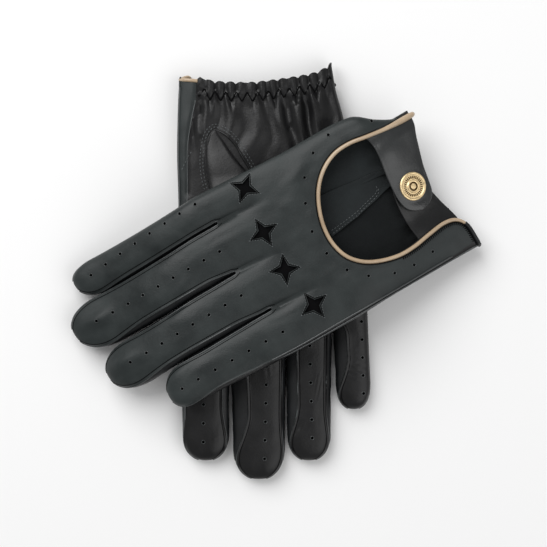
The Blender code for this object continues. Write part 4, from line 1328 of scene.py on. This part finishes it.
def thumb_stall(side):
    shoulder = THUMB_LENGTH - THUMB_TIP
    tube = [mix(THUMB_MOUTH_END, shoulder, k / 28) for k in range(29)]
    tube += [THUMB_LENGTH - THUMB_TIP * (1 - math.sin(math.pi / 2 * k / 12)) for k in range(1, 13)]
    tube[-1] -= 0.02 * MM
    mouth = [mix(THUMB_START, THUMB_MOUTH_END, k / 40) for k in range(40)]
    vertices, faces = thumb_half(side, mouth + tube, False)
    inner_vertices, inner_faces = thumb_half(side, tube, True)
    faces += [tuple(k + len(vertices) for k in face) for face in inner_faces]
    stall = coloured(new_piece(side + "_thumb_leather", vertices + inner_vertices, faces), PALM_LEATHER)
    stall.data.materials.append(SUEDE)
    weld = stall.modifiers.new("close the sides", "WELD")
    weld.merge_threshold = 0.02 * MM
    return finished(thicken(stall, 0.6 * MM))


for side in PATTERNS:
    stall = thumb_stall(side)
    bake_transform(stall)
    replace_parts(stall, side + "_thumb_stall")
    print(stall.name, len(stall.data.polygons), "faces")

# %% [markdown]
# ## The arch seam
# The thumb's root is held by the strongest seam of the glove: a raised ridge, and two rows of
# thread round it on the palm. The rows are the ridge's line moved outwards, so they keep their
# distance round the tight end of the arch.

# %% Ridge and thread round the thumb's root
ARCH_STATIONS = (12, 6, 0, -6, -12, -17, -20.2)
THREAD_ROWS = (-1.5, -3.0)


def arch_line(side, grow, lift):
    """The arch on the palm, moved sideways."""
    arch = [(along(ARCH_NEAR, k * MM), k * MM) for k in ARCH_STATIONS] + mm([(7.4, -21.7)])
    arch += [(along(ARCH_FAR, k * MM), k * MM) for k in ARCH_STATIONS[::-1]]
    line = []
    for i, (x, forward) in enumerate(arch):
        before, after = arch[max(0, i - 1)], arch[min(len(arch) - 1, i + 1)]
        run = Vector((after[0] - before[0], after[1] - before[1])).normalized()
        line.append(thumb_point(side, x + run.y * grow * MM, forward - run.x * grow * MM, 0)[:2])
    return on_face(side, "palm", line, lift)


for side in PATTERNS:
    ridge = coloured(cords(side + "_thumb_ridge", [arch_line(side, 0.0, 0.35 * MM)], 0.6 * MM), PALM_LEATHER)
    rows = [stroke for grow in THREAD_ROWS
            for stroke in strokes(arch_line(side, grow, 0.1 * MM), 1.2 * MM, 0.7 * MM)]
    seam = joined(side + "_thumb_seam", [ridge, thread(side + "_arch_thread", rows, 0.22 * MM)])
    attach(seam, side + "_glove")
print("arch stitches on each glove:", len(rows))

# %% [markdown]
# ## Strap and tab
# Strap and tab are two layers glued and turned, so their sections are slim pillows with round
# edges. Each springs from under the piping and hinges there. A groove runs along both edges of
# each top face.

# %% Strap and tab
STRAP_TOP = 5.0 * MM
TAB_TOP = 1.2 * MM
STRAP_SPAN = mm([
    (40.6, -1.8, 27.5), (37.5, -1.6, 26.0), (33.0, 0.0, 25.2), (28.0, 2.0, 25.6), (20.0, 4.4, 26.6),
    (12.0, 6.6, 27.3), (5.0, 7.7, 27.5), (0.0, 8.7, 26.9), (-3.5, 10.5, 25.4), (-5.8, 13.2, 22.8),
    (-6.9, 15.9, 20.1), (-7.1, 17.4, 18.6),
])
TAB_SPAN = mm([
    (-27.0, 3.9, 27.0), (-24.0, 4.0, 27.4), (-19.0, 4.3, 27.6), (-13.0, 5.4, 27.8), (-6.0, 7.0, 27.9),
    (1.0, 8.4, 27.6), (7.0, 9.4, 26.6), (11.5, 11.6, 24.4), (14.0, 15.4, 20.6), (14.4, 17.2, 18.8),
])


def strap_level(side, u, v):
    root = smooth((u - 31 * MM) / (6 * MM))
    under = skin(side, "back", u, max(v, -1 * MM))[2] - 2.0 * MM
    dent = -0.3 * MM * hump(math.hypot(u - SNAP_AT[0], v - SNAP_AT[1]) - 8.2 * MM, 1.6 * MM)
    roll = 0.9 * MM * hump(u - 27 * MM, 7 * MM) * smooth((v - 8 * MM) / (12 * MM))
    return mix(STRAP_TOP - 0.5 * MM + dent + roll, under, root)


def tab_level(side, u, v):
    return TAB_TOP - 0.55 * MM + 2.5 * MM * smooth((-8 * MM - u) / (13 * MM))


def pillow(name, side, span, level_at, half_thickness, material):
    """A long flat pillow of leather, from its width along u."""
    ring, vertices, faces = 44, [], []
    stations = fine(span, 5)
    for u, low, high in stations:
        middle, half = (low + high) / 2, (high - low) / 2
        for k in range(ring):
            across, up = rounded(half, half_thickness, 2.8, 2 * math.pi * k / ring)
            edge = 1 - abs(across) / half
            groove = 0.16 * MM * hump(edge * half - 1.5 * MM, 0.45 * MM) if up > 0 else 0
            puff = 0.5 * MM * (1 - (across / half) ** 2) * (1 if up > 0 else 0.3)
            soft = 0.2 * MM * noise.noise((u * 110, across * 110, 4.0))
            v = middle + across
            vertices.append(laid(side, u, v, level_at(side, u, v) + up - groove + puff + soft))
    for row in range(len(stations) - 1):
        for k in range(ring):
            a, b = row * ring + k, row * ring + (k + 1) % ring
            faces.append((a, b, b + ring, a + ring))
    last = (len(stations) - 1) * ring
    faces += [tuple(range(ring))[::-1], tuple(range(last, last + ring))]
    if (span[0][0] > span[-1][0]) == PATTERNS[side]["back_up"]:
        faces = [face[::-1] for face in faces]
    piece = coloured(new_piece(name, vertices, faces), material)
    piece.data.set_sharp_from_angle(angle=math.radians(60))
    return piece


for side in PATTERNS:
    strap = pillow(side + "_strap_leather", side, STRAP_SPAN, strap_level, 0.85 * MM, STRAP_LEATHER)
    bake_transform(strap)
    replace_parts(strap, side + "_strap")
    tab = pillow(side + "_under_tab_leather", side, TAB_SPAN, tab_level, 0.6 * MM, TAB_LEATHER)
    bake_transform(tab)
    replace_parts(tab, side + "_under_tab")
print("strap width at the fastener: 20 mm")

# %% [markdown]
# ## Elastic tape
# A ribbed tape is sewn under tension inside the cuff and pulls the palm into its gathers. Only its
# edge shows, so it is one thin band that follows the cuff, with ribs in its material.

# %% Elastic tape
weave = bpy.data.materials.new("woven elastic")
weave.use_nodes = True
tree = weave.node_tree
place = tree.nodes.new("ShaderNodeTexCoord")
ribs = node(tree, "ShaderNodeTexWave", Scale=420.0, Distortion=1.2)
ribs.bands_direction = "DIAGONAL"
rib_bump = node(tree, "ShaderNodeBump", Strength=0.6, Distance=0.0003)
tree.links.new(place.outputs["Object"], ribs.inputs["Vector"])
tree.links.new(ribs.outputs["Fac"], rib_bump.inputs["Height"])
tree.links.new(rib_bump.outputs["Normal"], tree.nodes["Principled BSDF"].inputs["Normal"])
tree.nodes["Principled BSDF"].inputs["Base Color"].default_value = (0.012, 0.012, 0.012, 1)
tree.nodes["Principled BSDF"].inputs["Roughness"].default_value = 0.85
for side in PATTERNS:
    middle = 9 * MM if side == "right" else 16 * MM
    vertices, faces = sheet_on(side, "palm", (-30 * MM, 26 * MM), (middle - 2.2 * MM, middle + 2.2 * MM),
                               -LEATHER - 0.4 * MM, (90, 6), faces_up=False)
    tape = coloured(new_piece(side + "_elastic_tape", vertices, faces), weave)
    tape.data.materials.append(weave)
    finished(thicken(tape, 0.6 * MM))
    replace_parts(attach(tape, side + "_glove"), side + "_cuff_elastic")
print("elastic tapes: 2")

# %% [markdown]
# ## What shows inside the keyhole
# Through the keyhole one sees the rough suede side of the palm. The empty thumb lies pressed flat
# there, as a tongue with a raised edge on one side and a doubled seam on the other.

# %% Thumb tongue inside the palm
TONGUE_NEAR = mm([(15, 19.0), (27.2, 20.9), (42, 23.4), (56.3, 25.3), (68, 26.5)])
TONGUE_FAR = mm([(15, 11.5), (30, 9.2), (34.5, 8.2), (50, 6.8), (65.2, 4.7), (68, 4.4)])
TONGUE_LEVEL = -4.7 * MM
LINING_LEVEL = -5.35 * MM


def tongue_grid(side, columns, rows):
    """Points of the tongue, with its raised edges."""
    vertices = []
    for row in range(rows + 1):
        v = mix(16 * MM, 67 * MM, row / rows)
        near, far = along(TONGUE_NEAR, v), along(TONGUE_FAR, v)
        for i in range(columns + 1):
            t = i / columns
            curl = 1.1 * MM * hump(t, 0.16) + 0.35 * MM * hump(t - 1, 0.12)
            soft = 0.5 * MM * noise.noise((t * 1.6, v * 60, 12.0))
            vertices.append(laid(side, mix(near, far, t), v, TONGUE_LEVEL + curl + soft))
    return vertices


def lining_grid(side, columns, rows):
    """Points of the lining that covers the thumb's hole from inside, beside the tongue."""
    vertices = []
    for row in range(rows + 1):
        v = mix(20 * MM, 68 * MM, row / rows)
        for i in range(columns + 1):
            soft = 0.4 * MM * noise.noise((i * 0.1, v * 50, 15.0))
            u = mix(along(TONGUE_NEAR, v) - 3 * MM, side_limits(side, v)[1] - 3.5 * MM, i / columns)
            level = max(LINING_LEVEL, skin(side, "palm", u, v, -2.2 * MM)[2])
            vertices.append(laid(side, u, v, level + soft))
    return vertices


for side in PATTERNS:
    columns, rows, back_up = 26, 40, PATTERNS[side]["back_up"]
    vertices = tongue_grid(side, columns, rows)
    faces = grid_faces(columns, rows, turned=back_up)
    faces += grid_faces(columns, rows, first=len(vertices), turned=not back_up)
    vertices += lining_grid(side, columns, rows)
    tongue = coloured(new_piece(side + "_tongue_leather", vertices, faces), TONGUE_SUEDE)
    finished(thicken(tongue, 0.7 * MM))
    stitches = []
    for shift in (0.9, 2.5):
        line = mm([(4.7 + shift, 66), (5.7 + shift, 56), (7.0 + shift, 46), (8.2 + shift, 36)])
        line += mm([(9.6 + shift, 32.0), (12.5 + shift * 0.6, 30.2 + shift * 0.5)])
        path = [laid(side, u, v, TONGUE_LEVEL + 0.25 * MM) for u, v in fine(line, 6)]
        stitches += strokes(path, 1.1 * MM, 0.75 * MM)
    short = fine(mm([(38.9, 46.6), (35.6, 39.8), (31.9, 34.4)]), 6)
    stitches += strokes([laid(side, u, v, -5.3 * MM) for u, v in short], 1.1 * MM, 0.8 * MM)
    inside = joined(side + "_thumb_tongue", [tongue, thread(side + "_tongue_thread", stitches, 0.21 * MM)])
    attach(inside, side + "_glove")
print("tongues: 2")

# %% [markdown]
# ## Brass
# Pressed brass is bright where it is rubbed and dull where it isn't. A fine noise drifts both the
# colour and the roughness, and dents the surface a little. The same recipe with a dark colour
# gives the patina that stays between raised details.

# %% Brass


def brass(name, colour, roughness):
    """Brass that is worn unevenly."""
    material = bpy.data.materials.new(name)
    material.use_nodes = True
    tree = material.node_tree
    shader = tree.nodes["Principled BSDF"]
    shader.inputs["Metallic"].default_value = 1.0
    place = tree.nodes.new("ShaderNodeTexCoord")
    patina = node(tree, "ShaderNodeTexNoise", Scale=700.0, Detail=4.0)
    tint = tree.nodes.new("ShaderNodeValToRGB")
    tint.color_ramp.elements[0].color = (*[c * 0.72 for c in colour], 1)
    tint.color_ramp.elements[1].color = (*colour, 1)
    tint.color_ramp.elements[0].position, tint.color_ramp.elements[1].position = 0.3, 0.62
    scuff = node(tree, "ShaderNodeMapRange", To_Min=roughness - 0.07, To_Max=roughness + 0.12)
    dents = node(tree, "ShaderNodeBump", Strength=0.12, Distance=0.0002)
    for output, target in ((place.outputs["Object"], patina.inputs["Vector"]),
                           (patina.outputs["Fac"], tint.inputs["Fac"]),
                           (tint.outputs["Color"], shader.inputs["Base Color"]),
                           (patina.outputs["Fac"], scuff.inputs["Value"]),
                           (scuff.outputs["Result"], shader.inputs["Roughness"]),
                           (patina.outputs["Fac"], dents.inputs["Height"]),
                           (dents.outputs["Normal"], shader.inputs["Normal"])):
        tree.links.new(output, target)
    return material


BRASS = brass("polished brass", (0.95, 0.74, 0.43), 0.4)
OLD_BRASS = brass("dark brass", (0.10, 0.06, 0.025), 0.5)
print("bright and dark brass mixed")

# %% [markdown]
# ## Press fastener
# The cap is pressed brass, about 15 mm across. A die gives it a knurled rim, a bright band with a
# ring of short bars, and a small fluted boss. The bars and the groove round the boss are dark with
# patina. The cap is turned from its profile, and the bars are set on it by a loop.

# %% The snap cap
BARS = 30
BAR_MIDDLE = 4.775
DARK_GROOVE = (1.6 * MM, 2.4 * MM)
DARK_BAND = (4.0 * MM, 5.55 * MM)
CAP_PROFILE = mm([(0.0, 1.35), (0.9, 1.32), (1.5, 1.18), (1.75, 0.95), (2.3, 0.93), (2.45, 1.16),
                  (2.75, 1.24), (3.1, 1.22), (3.3, 1.0), (3.5, 0.8), (6.0, 0.74), (6.2, 0.92),
                  (6.45, 1.08), (6.9, 1.1), (7.3, 0.92), (7.5, 0.6), (7.5, 0.25), (7.3, 0.0), (0.0, 0.0)])


def frame_at(side, u, v, h):
    """A matrix whose Z leaves the glove's back at a lay point."""
    here = placed(side, u, v, h)
    if not PATTERNS[side]["droops"]:
        return Matrix.Translation(here) @ Matrix.Rotation(math.pi, 4, "X")
    out = (bent(here + Vector((0, 0, MM))) - bent(here)).normalized()
    return Matrix.Translation(bent(here)) @ Vector((0, 0, 1)).rotation_difference(out).to_matrix().to_4x4()


def make_cap(side):
    """The cap, turned from its profile, with its bars, on the strap."""
    turns, vertices, faces = 96, [], []
    for k in range(turns):
        angle = 2 * math.pi * k / turns
        for radius, height in CAP_PROFILE:
            flute = 0.07 * MM * math.cos(angle * 12) * hump(radius - 1.2 * MM, 0.5 * MM)
            knurl = 0.05 * MM * math.cos(angle * 48) * hump(radius - 6.9 * MM, 0.35 * MM)
            vertices.append((radius * math.cos(angle), radius * math.sin(angle), height + flute + knurl))
    size = len(CAP_PROFILE)
    for k in range(turns):
        for i in range(size - 1):
            a, b = k * size + i, ((k + 1) % turns) * size + i
            faces.append((a, a + 1, b + 1, b))
    for k in range(BARS):
        spin = Matrix.Rotation(2 * math.pi * k / BARS, 3, "Z")
        first = len(vertices)
        for height, shrink in ((0.7, 1.0), (1.0, 1.0), (1.08, 0.7)):
            for x, y in ((4.1, -0.26), (5.45, -0.26), (5.45, 0.26), (4.1, 0.26)):
                x = BAR_MIDDLE + (x - BAR_MIDDLE) * shrink
                vertices.append(spin @ Vector((x * MM, y * shrink * MM, height * MM)))
        for low in (first, first + 4):
            for i in range(4):
                j = (i + 1) % 4
                faces.append((low + i, low + j, low + 4 + j, low + 4 + i))
        faces.append(tuple(range(first + 8, first + 12)))
    cap = new_piece(side + "_cap", vertices, faces)
    for material in (BRASS, OLD_BRASS):
        cap.data.materials.append(material)
    for face in cap.data.polygons:
        reach = math.hypot(face.center.x, face.center.y)
        bar = DARK_BAND[0] < reach < DARK_BAND[1] and face.center.z > 0.8 * MM
        face.material_index = 1 if bar or DARK_GROOVE[0] < reach < DARK_GROOVE[1] else 0
    weld = cap.modifiers.new("close the middle", "WELD")
    weld.merge_threshold = 0.002 * MM
    finished(cap, crisp=math.radians(35))
    cap.matrix_world = frame_at(side, *SNAP_AT, STRAP_TOP + 0.3 * MM)
    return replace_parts(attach(cap, side + "_strap_flap"), side + "_snap_cap")


for side in PATTERNS:
    make_cap(side)
    for name in ("snap_socket", "snap_stud", "snap_post"):
        coloured(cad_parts[f"{side}_{name}"], BRASS if name != "snap_post" else OLD_BRASS)
print("caps: 2, each with", BARS, "bars")

# %% [markdown]
# ## Rims of the vent holes
# A punch presses the leather's edge up a little round each hole, and that rim catches the light.
# A bump in the material would be gone from the side, so each rim is a closed ring of thin cord on
# the leather, and all rings of a glove are one piece. The ring is in a lighter leather than the panel:
# a painted highlight.

# %% Punched rims
for side in PATTERNS:
    rims = []
    for part in ("back", "palm"):
        for u, v in VENTS[side, part]:
            ring = circle((u, v), VENT_RADIUS + 0.14 * MM, 14)
            ring = [laid(side, *skin(side, part, *point, 0.02 * MM)) for point in ring]
            rims.append(ring + ring[:1])
    # Rims in the lighter seam leather: a painted highlight.
    rim = coloured(cords(side + "_vent_rims", rims, 0.19 * MM, 6), SEAM_HIGHLIGHT_LEATHER)
    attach(rim, side + "_glove")
    print(rim.name, len(rims))

# %% [markdown]
# ## Studio
# A catalogue picture wants a pale floor and light without hard edges. Two broad round softboxes
# stand to both sides of the gloves, the stronger one behind, and a pale world fills the rest. The
# camera looks straight down through a long lens, so a glove's side walls stay out of sight.

# %% Floor, lights and camera
floor = new_piece("floor", [(-3, -3, -0.0005), (3, -3, -0.0005), (3, 3, -0.0005), (-3, 3, -0.0005)],
                  [(0, 1, 2, 3)])
paper = bpy.data.materials.new("paper")
paper.use_nodes = True
paper.node_tree.nodes["Principled BSDF"].inputs["Base Color"].default_value = (0.88, 0.88, 0.88, 1)
paper.node_tree.nodes["Principled BSDF"].inputs["Roughness"].default_value = 0.9
coloured(floor, paper)


def soft_light(name, place, size, power, aim=(0, 0, 0.015)):
    lamp = bpy.data.lights.new(name, "AREA")
    lamp.shape = "DISK"
    lamp.size = size
    lamp.energy = power
    holder = bpy.data.objects.new(name, lamp)
    bpy.context.scene.collection.objects.link(holder)
    holder.location = place
    holder.rotation_euler = (Vector(aim) - Vector(place)).to_track_quat("-Z", "Y").to_euler()
    return holder


soft_light("key softbox", (-0.55, 0.75, 1.0), 1.3, 16.5)
soft_light("fill softbox", (0.8, -0.45, 1.0), 1.4, 6.0)
world = bpy.data.worlds.new("studio")
world.use_nodes = True
world.node_tree.nodes["Background"].inputs["Color"].default_value = (1, 1, 1, 1)
world.node_tree.nodes["Background"].inputs["Strength"].default_value = 0.38
bpy.context.scene.world = world
bpy.context.scene.view_settings.view_transform = "Standard"

VIEW_WIDTH = 284.4 * MM
VIEW_MIDDLE = -0.78 * MM
VIEW_LEVEL = 22 * MM
CAMERA_HEIGHT = 1.22
SENSOR = 36
camera_data = bpy.data.cameras.new("camera")
camera_data.sensor_width = SENSOR
camera_data.lens = SENSOR * (CAMERA_HEIGHT - VIEW_LEVEL) / VIEW_WIDTH
camera = bpy.data.objects.new("camera", camera_data)
bpy.context.scene.collection.objects.link(camera)
camera.location = (VIEW_MIDDLE, 0, CAMERA_HEIGHT)
bpy.context.scene.camera = camera
